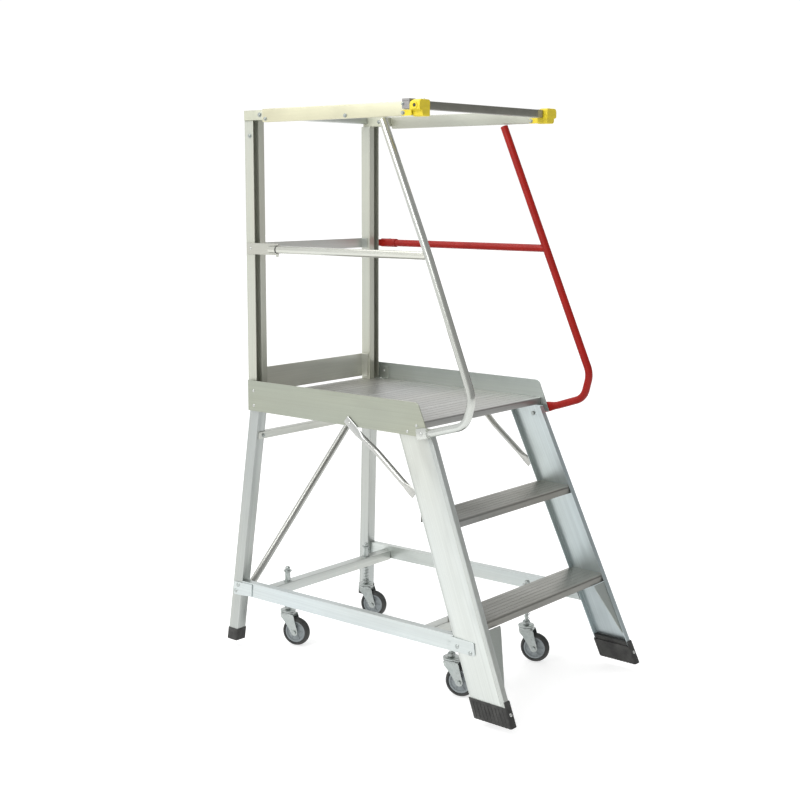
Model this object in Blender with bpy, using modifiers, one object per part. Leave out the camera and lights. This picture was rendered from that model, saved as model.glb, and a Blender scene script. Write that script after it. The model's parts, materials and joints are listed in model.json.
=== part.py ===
"""Rolling warehouse ladder: a three-level mobile platform with guard rails and sprung castors.

Metres, +Z up, +X to the right of somebody climbing, +Y to the rear. The ladder stands on its
castors, so its rubber feet hang FOOT_LIFT above the floor until weight presses the springs down.
Heights inside this file are measured from the soles of the feet, and depths from the rear end of
the side toe boards; the empty named ladder moves everything to the frame of the whole object.
"""

import math

import bmesh
import bpy
from mathutils import Matrix, Vector

GAP = 0.0003

# Levels and footprint
RISE = 0.287
PLATFORM = 3 * RISE
FOOT_LIFT = 0.030
CENTRE_SHIFT = 0.52775
SIDES = {"left": -1, "right": 1}

# The two leaning side planes, which hold the stiles, the rear legs and the base rails
TOP_HALF_WIDTH = 0.305
SIDE_LEAN = 0.07
SOLE_HALF_WIDTH = TOP_HALF_WIDTH + SIDE_LEAN * PLATFORM

# Rear legs
LEG_REAR_AT_SOLE = 0.080
LEG_RAKE = -0.0861
LEG_WIDTH = 0.040
LEG_DEPTH = 0.0435
LEG_WALL = 0.0025
LEG_BOTTOM = 0.010
CAP_TOP = 0.041
CAP_PROUD = 0.0025

# Stiles
STILE_REAR_AT_SOLE = -1.003
STILE_RAKE = 0.43
STILE_DEPTH = 0.131
STILE_FLANGE = 0.022
STILE_WALL = 0.003
STILE_BOTTOM = 0.008
STILE_TOP = 0.8365
BOOT_TOP = 0.056
BOOT_FRONT_TOP = 0.072
BOOT_WALL = 0.004

# Steps and platform
LIP = 0.024
SKIN = 0.003
RIB = 0.0025
NOSE_RADIUS = 0.006
DECK_FRONT = -0.753
DECK_REAR = 0.008
DECK_LIP = 0.0227
DECK_HALF = 0.3217
PLANKS = 5

# Toe boards
BOARD_OUTER = 0.325
BOARD_WALL = 0.003
BOARD_LOW = 0.815
BOARD_HIGH = 0.919
BOARD_FRONT = -0.788
REAR_BOARD_LOW = 0.870
REAR_BOARD_HIGH = 0.954

# Posts
POST_OUTER = 0.315
POST_WIDTH = 0.051
POST_DEPTH = 0.040
POST_REAR = 0.008
POST_WALL = 0.003
POST_BOX = 0.025
POST_TOP = 1.778

# Rails
TUBE = 0.0125
HANDRAIL_BACK = {"left": 0.0, "right": 0.0215}
HANDRAIL_MIDDLE = {"left": -0.776, "right": -0.7655}
RAIL_LOW = 1.770
RAIL_HIGH = 1.812
RAIL_OUTER = 0.335
RAIL_WIDTH = 0.025
RAIL_WALL = 0.0025
RAIL_REAR = -0.098
RAIL_FRONT = {"left": -0.7215, "right": -0.7365}
MID_HEIGHT = 1.362
FLAT_BAR = 0.034

# Base frame
BASE_LOW = 0.167
BASE_HIGH = 0.2155
BASE_RISE = 0.014
BASE_WIDTH = 0.025
BAR_DEPTH = 0.038
BAR_HEIGHT = 0.034

# Gate
PIN_X = -0.3025
PIN_Y = -0.7385
GATE_Y = -0.745
GATE_HALF = 0.0125
GATE_LOW = 1.787
GATE_HIGH = 1.811
BRACKET_LOW = 1.767
BRACKET_HIGH = 1.816
BRACKET_DEPTH = 0.038
BRACKET_FRONT = {"left": -0.760, "right": -0.775}
BRACKET_INNER = {"left": 0.296, "right": 0.294}
BRACKET_OUTER = {"left": 0.344, "right": 0.347}
TONGUE_END = {"left": -0.687, "right": -0.697}
TONGUE_LOW = 1.7695
TONGUE_HIGH = 1.7865
TONGUE_THICK = 0.005
SLOT_REACH = {"left": 0.3125, "right": 0.3190}
SLOT_PLAY = 0.0005
PIN_RADIUS = 0.004
KNUCKLE = 0.009
BRACKET_STEP = 0.013

# Castors
CASTOR_X = 0.207
CASTORS = {"rear": -0.062, "front": -0.790}
BAR_LOW = {"rear": 0.165, "front": 0.192}
TRAIL_ANGLE = math.radians(-70.9)
TRAIL = 0.032
AXLE_HEIGHT = 0.020
WHEEL_RADIUS = 0.050
TYRE_WIDTH = 0.030
RIM_RADIUS = 0.0375
STEM_RADIUS = 0.006
SPRING_SEAT = 0.108
SPRING_RADIUS = 0.0095
SPRING_WIRE = 0.0012
SPRING_TURNS = 6

COLOURS = {
    "aluminium": ((0.55, 0.57, 0.56), 0.35, 1.0),
    "red": ((0.42, 0.02, 0.015), 0.35, 0.0),
    "yellow": ((0.85, 0.62, 0.02), 0.4, 0.0),
    "gate_grey": ((0.16, 0.16, 0.14), 0.45, 0.0),
    "rubber": ((0.015, 0.015, 0.014), 0.8, 0.0),
    "zinc": ((0.5, 0.53, 0.54), 0.3, 1.0),
    "tyre": ((0.03, 0.032, 0.035), 0.7, 0.0),
    "wheel": ((0.3, 0.33, 0.34), 0.5, 0.0),
}


# ---------------------------------------------------------------- scene and helpers


def clear_scene():
    for item in list(bpy.data.objects):
        bpy.data.objects.remove(item, do_unlink=True)


def new_collection(name):
    collection = bpy.data.collections.new(name)
    bpy.context.scene.collection.children.link(collection)
    return collection


def material(name):
    """The Principled material of this colour name."""
    if name in bpy.data.materials:
        return bpy.data.materials[name]
    colour, roughness, metallic = COLOURS[name]
    made = bpy.data.materials.new(name)
    made.use_nodes = True
    shader = made.node_tree.nodes["Principled BSDF"]
    shader.inputs["Base Color"].default_value = (*colour, 1.0)
    shader.inputs["Roughness"].default_value = roughness
    shader.inputs["Metallic"].default_value = metallic
    return made


def frame_of(origin, u, v, w):
    """The matrix that takes local (u, v, w) to the ladder's axes."""
    matrix = Matrix.Identity(4)
    for column, vector in enumerate((u, v, w, origin)):
        for row in range(3):
            matrix[row][column] = vector[row]
    return matrix


def side_plane(side):
    """Local x is depth, y is height and z is outward from the leaning side plane."""
    sign = SIDES[side]
    return frame_of((sign * SOLE_HALF_WIDTH, 0, 0), (0, 1, 0), (-sign * SIDE_LEAN, 0, 1), (sign, 0, 0))


def leaning(side, rear_at_sole, rake):
    """Local x is outward, y is rearward and z climbs a member that leans in and rakes."""
    sign = SIDES[side]
    origin = (sign * SOLE_HALF_WIDTH, rear_at_sole, 0)
    return frame_of(origin, (sign, 0, 0), (0, 1, 0), (-sign * SIDE_LEAN, rake, 1))


def upright(side):
    """Local x is outward from the middle, y is rearward and z is up."""
    return frame_of((0, 0, 0), (SIDES[side], 0, 0), (0, 1, 0), (0, 0, 1))


ACROSS = frame_of((0, 0, 0), (0, 1, 0), (0, 0, 1), (1, 0, 0))
PLAN = Matrix.Identity(4)


def link(obj, colour, collection, parent=None):
    collection.objects.link(obj)
    obj.parent = parent
    if colour:
        obj.data.materials.append(material(colour))
    return obj


def placed_mesh(obj, matrix):
    """Bakes a matrix into a mesh and keeps its faces pointing out."""
    obj.data.transform(matrix)
    if matrix.determinant() < 0:
        obj.data.flip_normals()


def as_mesh(obj):
    """The curve as a closed mesh object, its caps welded to its sides."""
    graph = bpy.context.evaluated_depsgraph_get()
    mesh = bpy.data.meshes.new_from_object(obj.evaluated_get(graph))
    shape = bmesh.new()
    shape.from_mesh(mesh)
    bmesh.ops.remove_doubles(shape, verts=shape.verts, dist=1e-5)
    bmesh.ops.recalc_face_normals(shape, faces=shape.faces)
    shape.to_mesh(mesh)
    shape.free()
    made = bpy.data.objects.new(obj.name + "_mesh", mesh)
    made.matrix_world = obj.matrix_world
    curve = obj.data
    bpy.data.objects.remove(obj)
    bpy.data.curves.remove(curve)
    return made


def prism(name, outlines, near, far, frame, colour=None, collection=None, parent=None):
    """Closed outlines in local x and y, as thick as from near to far on local z.

    An outline inside another is a hole.
    """
    curve = bpy.data.curves.new(name, "CURVE")
    curve.dimensions = "2D"
    curve.fill_mode = "BOTH"
    curve.extrude = abs(far - near) / 2
    for outline in outlines:
        spline = curve.splines.new("POLY")
        spline.points.add(len(outline) - 1)
        for point, corner in zip(spline.points, outline):
            point.co = (corner[0], corner[1], 0, 1)
        spline.use_cyclic_u = True
    flat = bpy.data.objects.new(name + "_outline", curve)
    bpy.context.scene.collection.objects.link(flat)
    bpy.context.view_layer.update()
    obj = as_mesh(flat)
    obj.name = name
    placed_mesh(obj, frame @ Matrix.Translation((0, 0, (near + far) / 2)))
    return link(obj, colour, collection or PARTS, parent or LADDER)


def rectangle(low, high):
    return [(low[0], low[1]), (high[0], low[1]), (high[0], high[1]), (low[0], high[1])]


def rounded(corners, radii, steps=4):
    """The outline through these corners, each turned by an arc of its own radius."""
    outline = []
    count = len(corners)
    for index, radius in enumerate(radii):
        corner = Vector(corners[index])
        if radius == 0:
            outline.append(tuple(corner))
            continue
        back = (Vector(corners[index - 1]) - corner).normalized()
        ahead = (Vector(corners[(index + 1) % count]) - corner).normalized()
        half = back.angle(ahead) / 2
        middle = corner + (back + ahead).normalized() * radius / math.sin(half)
        first = corner + back * radius / math.tan(half) - middle
        last = corner + ahead * radius / math.tan(half) - middle
        for step in range(steps + 1):
            arm = first.lerp(last, step / steps).normalized() * radius
            outline.append(tuple(middle + arm))
    return outline


def rounded_box(low, high, radius, steps=3):
    return rounded(rectangle(low, high), [radius] * 4, steps)


def block(name, low, high, colour=None, collection=None, parent=None):
    """A box from its low corner to its high corner."""
    shape = bmesh.new()
    bmesh.ops.create_cube(shape, size=1)
    size = [b - a for a, b in zip(low, high)]
    middle = [(a + b) / 2 for a, b in zip(low, high)]
    bmesh.ops.scale(shape, vec=size, verts=shape.verts)
    bmesh.ops.translate(shape, vec=middle, verts=shape.verts)
    mesh = bpy.data.meshes.new(name)
    shape.to_mesh(mesh)
    shape.free()
    return link(bpy.data.objects.new(name, mesh), colour, collection or PARTS, parent or LADDER)


def cylinder(name, radius, low, high, place=None, colour=None, collection=None, parent=None, sides=24):
    """A cylinder on local z from low to high."""
    shape = bmesh.new()
    bmesh.ops.create_cone(
        shape, cap_ends=True, segments=sides, radius1=radius, radius2=radius, depth=high - low
    )
    bmesh.ops.translate(shape, vec=(0, 0, (low + high) / 2), verts=shape.verts)
    mesh = bpy.data.meshes.new(name)
    shape.to_mesh(mesh)
    shape.free()
    obj = bpy.data.objects.new(name, mesh)
    placed_mesh(obj, place or PLAN)
    return link(obj, colour, collection or PARTS, parent or LADDER)


def combine(obj, operation, others, solver="EXACT"):
    """Joins the others to an object or cuts them from it, and clears them away."""
    for other in others:
        boolean = obj.modifiers.new(operation.lower(), "BOOLEAN")
        boolean.operation = operation
        boolean.solver = solver
        boolean.object = other
    bpy.context.view_layer.update()
    graph = bpy.context.evaluated_depsgraph_get()
    mesh = bpy.data.meshes.new_from_object(obj.evaluated_get(graph))
    obj.modifiers.clear()
    obj.data = mesh
    for other in others:
        bpy.data.objects.remove(other)
    return obj


def smooth(obj, angle=math.radians(35)):
    obj.data.shade_smooth()
    obj.data.set_sharp_from_angle(angle=angle)
    return obj


def rod(name, points, radius, colour=None, collection=None, parent=None, resolution=4):
    """A round bar along a run of points."""
    curve = bpy.data.curves.new(name, "CURVE")
    curve.dimensions = "3D"
    curve.bevel_depth = radius
    curve.bevel_resolution = resolution
    curve.use_fill_caps = True
    spline = curve.splines.new("POLY")
    spline.points.add(len(points) - 1)
    for point, place in zip(spline.points, points):
        point.co = (*place, 1)
    centre_line = bpy.data.objects.new(name + "_line", curve)
    bpy.context.scene.collection.objects.link(centre_line)
    bpy.context.view_layer.update()
    obj = as_mesh(centre_line)
    obj.name = name
    return link(smooth(obj), colour, collection or PARTS, parent or LADDER)


def bent_path(corners, radii, steps=7):
    """A path through these corners, each inner one turned by an arc of its own radius."""
    path = [Vector(corners[0])]
    for index, radius in enumerate(radii, 1):
        corner = Vector(corners[index])
        back = (Vector(corners[index - 1]) - corner).normalized()
        ahead = (Vector(corners[index + 1]) - corner).normalized()
        half = back.angle(ahead) / 2
        middle = corner + (back + ahead).normalized() * radius / math.sin(half)
        first = corner + back * radius / math.tan(half) - middle
        last = corner + ahead * radius / math.tan(half) - middle
        for step in range(steps + 1):
            path.append(middle + first.lerp(last, step / steps).normalized() * radius)
    path.append(Vector(corners[-1]))
    return path


def flattened_tube(name, path, radius, thick, flat_normal, flats, colour, sides=12):
    """A tube whose ends are pressed flat: a loft from a flat oval to a circle and back.

    flats holds the length pressed flat at the start and at the end, and 0 leaves an end round.
    """
    length = sum((b - a).length for a, b in zip(path, path[1:]))
    blend = 0.035
    shape = bmesh.new()
    rings = []
    gone = 0.0
    for index, centre in enumerate(path):
        if index:
            gone += (centre - path[index - 1]).length
        ahead = path[min(index + 1, len(path) - 1)]
        behind = path[max(index - 1, 0)]
        tangent = (ahead - behind).normalized()
        normal = (flat_normal - tangent * flat_normal.dot(tangent)).normalized()
        across = tangent.cross(normal)
        round_share = 1.0
        for flat, distance in zip(flats, (gone, length - gone)):
            if flat:
                share = min(max((distance - flat) / blend, 0.0), 1.0)
                round_share = min(round_share, share * share * (3 - 2 * share))
        high = thick / 2 + (radius - thick / 2) * round_share
        wide = radius * 1.38 - radius * 0.38 * round_share
        ring = []
        for side in range(sides):
            angle = 2 * math.pi * side / sides
            point = centre + across * wide * math.cos(angle) + normal * high * math.sin(angle)
            ring.append(shape.verts.new(point))
        rings.append(ring)
    for ring, following in zip(rings, rings[1:]):
        for side in range(sides):
            after = (side + 1) % sides
            shape.faces.new((ring[side], ring[after], following[after], following[side]))
    shape.faces.new(rings[0][::-1])
    shape.faces.new(rings[-1])
    bmesh.ops.recalc_face_normals(shape, faces=shape.faces)
    mesh = bpy.data.meshes.new(name)
    shape.to_mesh(mesh)
    shape.free()
    return link(smooth(bpy.data.objects.new(name, mesh)), colour, PARTS, LADDER)


def divided(path, spacing):
    """The same path with points no further apart than spacing."""
    fine = [path[0]]
    for start, end in zip(path, path[1:]):
        parts = max(1, math.ceil((end - start).length / spacing))
        fine.extend(start.lerp(end, part / parts) for part in range(1, parts + 1))
    return fine


def turned(name, profile, place, colour, parent, steps=32):
    """A profile of (radius, height) points, listed top to bottom, turned about local z."""
    mesh = bpy.data.meshes.new(name)
    points = [(radius, 0, height) for radius, height in profile]
    mesh.from_pydata(points, [(i, i + 1) for i in range(len(points) - 1)], [])
    obj = link(bpy.data.objects.new(name, mesh), colour, PARTS, parent)
    screw = obj.modifiers.new("turn", "SCREW")
    screw.steps = steps
    screw.render_steps = steps
    screw.use_merge_vertices = True
    screw.merge_threshold = 1e-5
    screw.use_smooth_shade = True
    obj.matrix_local = place
    return obj


# ---------------------------------------------------------------- legs, stiles and feet


def side_half_width(height):
    return TOP_HALF_WIDTH + SIDE_LEAN * (PLATFORM - height)


def leg_section(margin=0.0):
    """Outer and inner outlines of the leg's box section, made bigger all round by margin."""
    outer = rounded_box((-LEG_WIDTH - margin, -LEG_DEPTH - margin), (margin, margin), 0.003)
    wall = LEG_WALL + margin
    inner = rectangle((wall - LEG_WIDTH, wall - LEG_DEPTH), (-wall, -wall))
    return [outer, inner]


def leg_frame(side):
    return leaning(side, LEG_REAR_AT_SOLE, LEG_RAKE)


def rear_leg(side):
    top = PLATFORM - DECK_LIP - GAP
    return prism(f"rear_leg_{side}", leg_section(), LEG_BOTTOM, top, leg_frame(side), "aluminium")


def rear_leg_foot(side):
    """A moulded cap with a plug inside the leg."""
    low = (-LEG_WIDTH - CAP_PROUD, -LEG_DEPTH - CAP_PROUD)
    outline = rounded_box(low, (CAP_PROUD, CAP_PROUD), 0.005)
    foot = prism(f"rear_leg_foot_{side}", [outline], 0, CAP_TOP, leg_frame(side), "rubber")
    slot = prism("slot", leg_section(GAP), LEG_BOTTOM - GAP, 0.1, leg_frame(side), None, CUTTERS)
    return combine(foot, "DIFFERENCE", [slot])


def stile_section(margin=0.0):
    """The C of the stile: its web on the outer side and its flanges turned in."""
    front = -STILE_DEPTH
    edge = -STILE_FLANGE
    wall = STILE_WALL
    corners = [
        (margin, front - margin),
        (margin, margin),
        (edge - margin, margin),
        (edge - margin, -wall - margin),
        (-wall - margin, -wall - margin),
        (-wall - margin, front + wall + margin),
        (edge - margin, front + wall + margin),
        (edge - margin, front - margin),
    ]
    return rounded(corners, [0.002, 0.002, 0, 0, 0, 0, 0, 0], 3)


def stile_frame(side):
    return leaning(side, STILE_REAR_AT_SOLE, STILE_RAKE)


def stile(side):
    section = [stile_section()]
    return prism(f"stile_{side}", section, STILE_BOTTOM, STILE_TOP, stile_frame(side), "aluminium")


def stile_cutter(side, low, high):
    section = [stile_section(GAP)]
    return prism("slot", section, low, high, stile_frame(side), None, CUTTERS)


def stile_foot(side):
    """A moulded boot round the stile, with a plug inside the channel and a taller front wall."""
    frame = stile_frame(side)
    inner = -STILE_FLANGE - BOOT_WALL
    front = -STILE_DEPTH - BOOT_WALL
    shell = rounded_box((inner, front), (BOOT_WALL, BOOT_WALL), 0.005)
    foot = prism(f"stile_foot_{side}", [shell], 0, BOOT_TOP, frame, "rubber")
    wall = rectangle((inner + 0.003, front + 0.0002), (BOOT_WALL - 0.003, -STILE_DEPTH + 0.001))
    front_wall = prism("front wall", [wall], 0.01, BOOT_FRONT_TOP, frame, None, CUTTERS)
    plug_outline = rectangle((inner + 0.004, -STILE_DEPTH + 0.004), (-STILE_WALL, -0.004))
    plug = prism("plug", [plug_outline], 0.01, BOOT_FRONT_TOP - 0.002, frame, None, CUTTERS)
    combine(foot, "UNION", [front_wall, plug])
    return combine(foot, "DIFFERENCE", [stile_cutter(side, STILE_BOTTOM - GAP, 0.12)])


# ---------------------------------------------------------------- steps, deck and toe boards


def plank_profile(front, rear, top, lip, joints):
    """A ribbed plank in depth and height: a skin, a rounded nose and a rib under each joint."""
    nose = rounded([(front, top - lip), (front, top), (rear, top)], [0, NOSE_RADIUS, 0])
    outline = nose + [(rear, top - lip), (rear - RIB, top - lip), (rear - RIB, top - SKIN)]
    for joint in sorted(joints, reverse=True):
        outline.append((joint + RIB / 2, top - SKIN))
        outline.append((joint + RIB / 2, top - lip))
        outline.append((joint - RIB / 2, top - lip))
        outline.append((joint - RIB / 2, top - SKIN))
    wall = SKIN + 0.0005
    outline += [(front + wall, top - wall - 0.002), (front + wall, top - lip)]
    return outline


def step(name, top):
    """A tread between the stiles' webs, notched round their flanges."""
    rear = STILE_REAR_AT_SOLE + STILE_RAKE * top
    front = rear - STILE_DEPTH
    half = side_half_width(top) - 0.001
    profile = plank_profile(front, rear, top, LIP, [(front + rear) / 2])
    tread = prism(name, [profile], -half, half, ACROSS, "aluminium")
    cutters = [stile_cutter(side, top - 0.1, top + 0.1) for side in SIDES]
    return combine(tread, "DIFFERENCE", cutters)


def deck():
    """Planks side by side under one skin, with its rear corners cut out for the posts."""
    depth = DECK_REAR - DECK_FRONT
    joints = [DECK_FRONT + depth * plank / PLANKS for plank in range(1, PLANKS)]
    profile = plank_profile(DECK_FRONT, DECK_REAR, PLATFORM, DECK_LIP, joints)
    made = prism("platform_deck", [profile], -DECK_HALF, DECK_HALF, ACROSS, "aluminium")
    cutters = []
    inner = POST_OUTER - POST_WIDTH - GAP
    front = POST_REAR - POST_DEPTH - GAP
    for sign in SIDES.values():
        ends = sorted((sign * inner, sign * 0.4))
        low = (ends[0], front, PLATFORM - 0.05)
        cutters.append(block("notch", low, (ends[1], 0.1, PLATFORM + 0.05), None, CUTTERS))
    return combine(made, "DIFFERENCE", cutters, "MANIFOLD")


def side_toe_board(side):
    """A plate with its front edge cut parallel to the stile."""
    slant = STILE_RAKE * (BOARD_HIGH - BOARD_LOW)
    corners = [
        (BOARD_FRONT, BOARD_LOW),
        (0, BOARD_LOW),
        (0, BOARD_HIGH),
        (BOARD_FRONT + slant, BOARD_HIGH),
    ]
    outline = rounded(corners, [0, 0, 0, 0.02], 5)
    sign = SIDES[side]
    frame = frame_of((0, 0, 0), (0, 1, 0), (0, 0, 1), (sign, 0, 0))
    inner = BOARD_OUTER - BOARD_WALL
    return prism(f"toe_board_{side}", [outline], inner, BOARD_OUTER, frame, "aluminium")


def bent_strip(name, front, flange, low, high):
    """A strip across the back whose ends are bent forward on the inner faces of the posts."""
    outer = POST_OUTER - POST_WIDTH - GAP
    thick = BOARD_WALL
    bend = 0.004
    corners = [
        (-outer, front - flange),
        (-outer, front + thick),
        (outer, front + thick),
        (outer, front - flange),
        (outer - thick, front - flange),
        (outer - thick, front),
        (thick - outer, front),
        (thick - outer, front - flange),
    ]
    outline = rounded(corners[::-1], [0, 0.001, 0.001, 0, 0, bend, bend, 0], 4)
    return prism(name, [outline], low, high, PLAN, "aluminium")


# ---------------------------------------------------------------- posts and guard rails


def post(side):
    """A box section with a channel beside it that is open to the front, standing on the leg."""
    outer, wall = POST_OUTER, POST_WALL
    inner = outer - POST_WIDTH
    front = POST_REAR - POST_DEPTH
    ridge = inner + POST_BOX
    corners = [
        (inner, POST_REAR),
        (inner, front),
        (ridge, front),
        (ridge, POST_REAR - wall),
        (outer - wall, POST_REAR - wall),
        (outer - wall, front),
        (outer, front),
        (outer, POST_REAR),
    ]
    outline = rounded(corners, [0.002] + [0] * 6 + [0.002], 3)
    bore = rectangle((inner + wall, front + wall), (ridge - wall, POST_REAR - wall))
    bottom = PLATFORM - DECK_LIP + GAP
    return prism(f"post_{side}", [outline, bore], bottom, POST_TOP, upright(side), "aluminium")


def handrail_path(side):
    """From the flat end on the toe board, forward and round, then up to the top rail."""
    back = HANDRAIL_BACK[side]
    corners = [
        (0.3284, -0.742, 0.822),
        (0.3284, -0.775, 0.829),
        (0.3375, -0.812, 0.837),
        (0.3375, back - 0.935, 0.872),
        (0.3360, back - 0.957, 0.955),
        (0.3185, HANDRAIL_MIDDLE[side], MID_HEIGHT),
        (0.3110, -0.5915, 1.7630),
    ]
    path = bent_path(corners[2:], [0.055, 0.075, 2.0], 6)
    path = [Vector(corner) for corner in corners[:2]] + path
    return [Vector((SIDES[side] * point.x, point.y, point.z)) for point in path]


def handrail(side, colour):
    path = handrail_path(side)
    start = divided(path[:4], 0.012)
    outward = Vector((1, 0, 0))
    path = start + path[4:]
    name = f"handrail_{side}"
    return flattened_tube(name, path, TUBE, 0.006, outward, (0.034, 0), colour)


def handrail_cutter(side):
    path = [tuple(point) for point in handrail_path(side)]
    return rod("handrail seat", path, TUBE + 2 * GAP, None, CUTTERS, resolution=10)


MID_REAR_X = 0.3312
MID_FRONT_X = 0.3185
MID_FRONT_Y = {"left": -0.772, "right": -0.7615}


def mid_rail_point(side, depth):
    """The point of the mid rail's centre line at this depth."""
    share = depth / MID_FRONT_Y[side]
    return (SIDES[side] * (MID_REAR_X + (MID_FRONT_X - MID_REAR_X) * share), depth, MID_HEIGHT)


def mid_rail_left():
    """A tube coped on to the handrail, with the flat bracket that bolts it to the post."""
    rail = rod("mid_rail_left", [mid_rail_point("left", -0.12), mid_rail_point("left", MID_FRONT_Y["left"])],
               TUBE, "aluminium")
    frame = frame_of((0, 0, 0), (0, 1, 0), (0, 0, 1), (-1, 0, 0))
    low, high = MID_HEIGHT - 0.019, MID_HEIGHT + 0.018
    plate_outline = rounded([(-0.148, low), (0.002, low), (0.002, high), (-0.148, high)],
                            [0.002, 0.001, 0.001, 0.002], 2)
    inner = POST_OUTER + GAP
    plate = prism("plate", [plate_outline], inner, inner + 0.004, frame, None, CUTTERS)
    combine(rail, "UNION", [plate])
    return smooth(combine(rail, "DIFFERENCE", [handrail_cutter("left")]))


def mid_rail_right():
    """A tube coped on to the handrail, in a sleeve that is bolted to the post."""
    rail = rod("mid_rail_right", [mid_rail_point("right", -0.05), mid_rail_point("right", MID_FRONT_Y["right"])],
               TUBE, "red")
    sleeve = rod("sleeve", [mid_rail_point("right", -0.034), mid_rail_point("right", -0.105)],
                 0.0152, None, CUTTERS)
    frame = frame_of((0, 0, 0), (0, 1, 0), (0, 0, 1), (1, 0, 0))
    inner = POST_OUTER + GAP
    plate_outline = rectangle((-0.06, MID_HEIGHT - 0.012), (0.0, MID_HEIGHT + 0.012))
    plate = prism("plate", [plate_outline], inner, inner + 0.004, frame, None, CUTTERS)
    combine(rail, "UNION", [sleeve, plate])
    return smooth(combine(rail, "DIFFERENCE", [handrail_cutter("right")]))


def top_rail(side):
    inner = RAIL_OUTER - RAIL_WIDTH
    wall = RAIL_WALL
    outer_edge = rounded_box((inner, RAIL_LOW), (RAIL_OUTER, RAIL_HIGH), 0.003)
    bore = rectangle((inner + wall, RAIL_LOW + wall), (RAIL_OUTER - wall, RAIL_HIGH - wall))
    frame = frame_of((0, 0, 0), (SIDES[side], 0, 0), (0, 0, 1), (0, 1, 0))
    return prism(f"top_rail_{side}", [outer_edge, bore], RAIL_FRONT[side], RAIL_REAR, frame, "aluminium")


def corner_connector(side):
    """A cast cap over the post, with a tongue inside the top rail."""
    low, high = POST_TOP + GAP, 1.810
    cap_outline = rounded_box((0.268, -0.094), (0.322, 0.006), 0.008)
    cap = prism(f"corner_connector_{side}", [cap_outline], low, high, upright(side), "aluminium")
    wall = RAIL_WALL + GAP
    inner = RAIL_OUTER - RAIL_WIDTH + wall
    tongue_outline = rectangle((inner, -0.135), (0.3215, -0.080))
    tongue_low = max(low, RAIL_LOW + wall) + 0.001
    tongue = prism("tongue", [tongue_outline], tongue_low, RAIL_HIGH - wall, upright(side), None, CUTTERS)
    return combine(cap, "UNION", [tongue])


def rear_top_rail():
    half = 0.268 - GAP
    outer = rounded_box((-0.017, 1.787), (0.005, 1.811), 0.002)
    bore = rectangle((-0.015, 1.789), (0.003, 1.809))
    return prism("rear_top_rail", [outer, bore], -half, half, ACROSS, "aluminium")


# ---------------------------------------------------------------- base frame and braces


def leg_front(height):
    return LEG_REAR_AT_SOLE + LEG_RAKE * height - LEG_DEPTH


def stile_rear(height):
    return STILE_REAR_AT_SOLE + STILE_RAKE * height


def base_rail(side):
    """A box tube from leg to stile, with the flat plates that rivet it to both."""
    frame = side_plane(side)
    fit = 0.0005
    low, high = BASE_LOW, BASE_HIGH
    outline = [
        (leg_front(low) - fit, low),
        (leg_front(high) - fit, high),
        (stile_rear(high + BASE_RISE) + fit, high + BASE_RISE),
        (stile_rear(low + BASE_RISE) + fit, low + BASE_RISE),
    ]
    rail = prism(f"base_rail_{side}", [outline], -BASE_WIDTH, 0, frame, "aluminium")
    wall = 0.0025
    reach = 0.05
    bore_outline = [
        (leg_front(low) + reach, low + wall),
        (leg_front(low) + reach, high - wall),
        (stile_rear(high) - reach, high + BASE_RISE - wall),
        (stile_rear(high) - reach, low + BASE_RISE + wall),
    ]
    bore = prism("bore", [bore_outline], wall - BASE_WIDTH, -wall, frame, None, CUTTERS)
    combine(rail, "DIFFERENCE", [bore])
    rear_plate = [(-0.034, 0.170), (0.055, 0.163), (0.055, 0.209), (-0.034, 0.212)]
    front_plate = [(-0.900, 0.226), (-0.985, 0.224), (-0.993, 0.184), (-0.900, 0.184)]
    plates = []
    for outline in (rear_plate, front_plate):
        radii = [0.001, 0.006, 0.006, 0.001]
        plates.append(prism("plate", [rounded(outline, radii, 3)], GAP, 0.0033, frame, None, CUTTERS))
    for near, far in ((-0.033, -0.004), (-0.908, -0.885)):
        ends = sorted((near, far))
        step_outline = rectangle((ends[0], 0.187), (ends[1], 0.208))
        plates.append(prism("joggle", [step_outline], -0.001, 0.002, frame, None, CUTTERS))
    return combine(rail, "UNION", plates)


def castor_crossbar(place):
    """A box tube between the base rails, bored for the stems of two castors."""
    low, middle = BAR_LOW[place], CASTORS[place]
    half = side_half_width(low + BAR_HEIGHT) - BASE_WIDTH - GAP
    outer = rounded_box((middle - BAR_DEPTH / 2, low), (middle + BAR_DEPTH / 2, low + BAR_HEIGHT), 0.002)
    wall = 0.0025
    bore = rectangle((middle - BAR_DEPTH / 2 + wall, low + wall),
                     (middle + BAR_DEPTH / 2 - wall, low + BAR_HEIGHT - wall))
    bar = prism(f"castor_crossbar_{place}", [outer, bore], -half, half, ACROSS, "aluminium")
    holes = []
    for sign in SIDES.values():
        centre = Matrix.Translation((sign * CASTOR_X, middle, 0))
        holes.append(cylinder("bore", STEM_RADIUS + 0.0006, 0.1, 0.3, centre, None, CUTTERS))
    return combine(bar, "DIFFERENCE", holes)


def rear_cross_member():
    """An angle across the fronts of the rear legs, its flange turned back between them."""
    low, high = 0.714, 0.739
    frame = frame_of((0, leg_front(0), 0), (1, 0, 0), (0, LEG_RAKE, 1), (0, -1, 0))
    plate = rectangle((-0.306, low), (0.306, high))
    angle = prism("rear_cross_member", [plate], 0.0005, 0.0035, frame, "aluminium")
    flange_half = side_half_width(high) - LEG_WIDTH - 0.001
    front = leg_front(high) - 0.002
    flange = block("flange", (-flange_half, front, high - 0.003), (flange_half, -0.005, high), None, CUTTERS)
    return combine(angle, "UNION", [flange])


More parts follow.
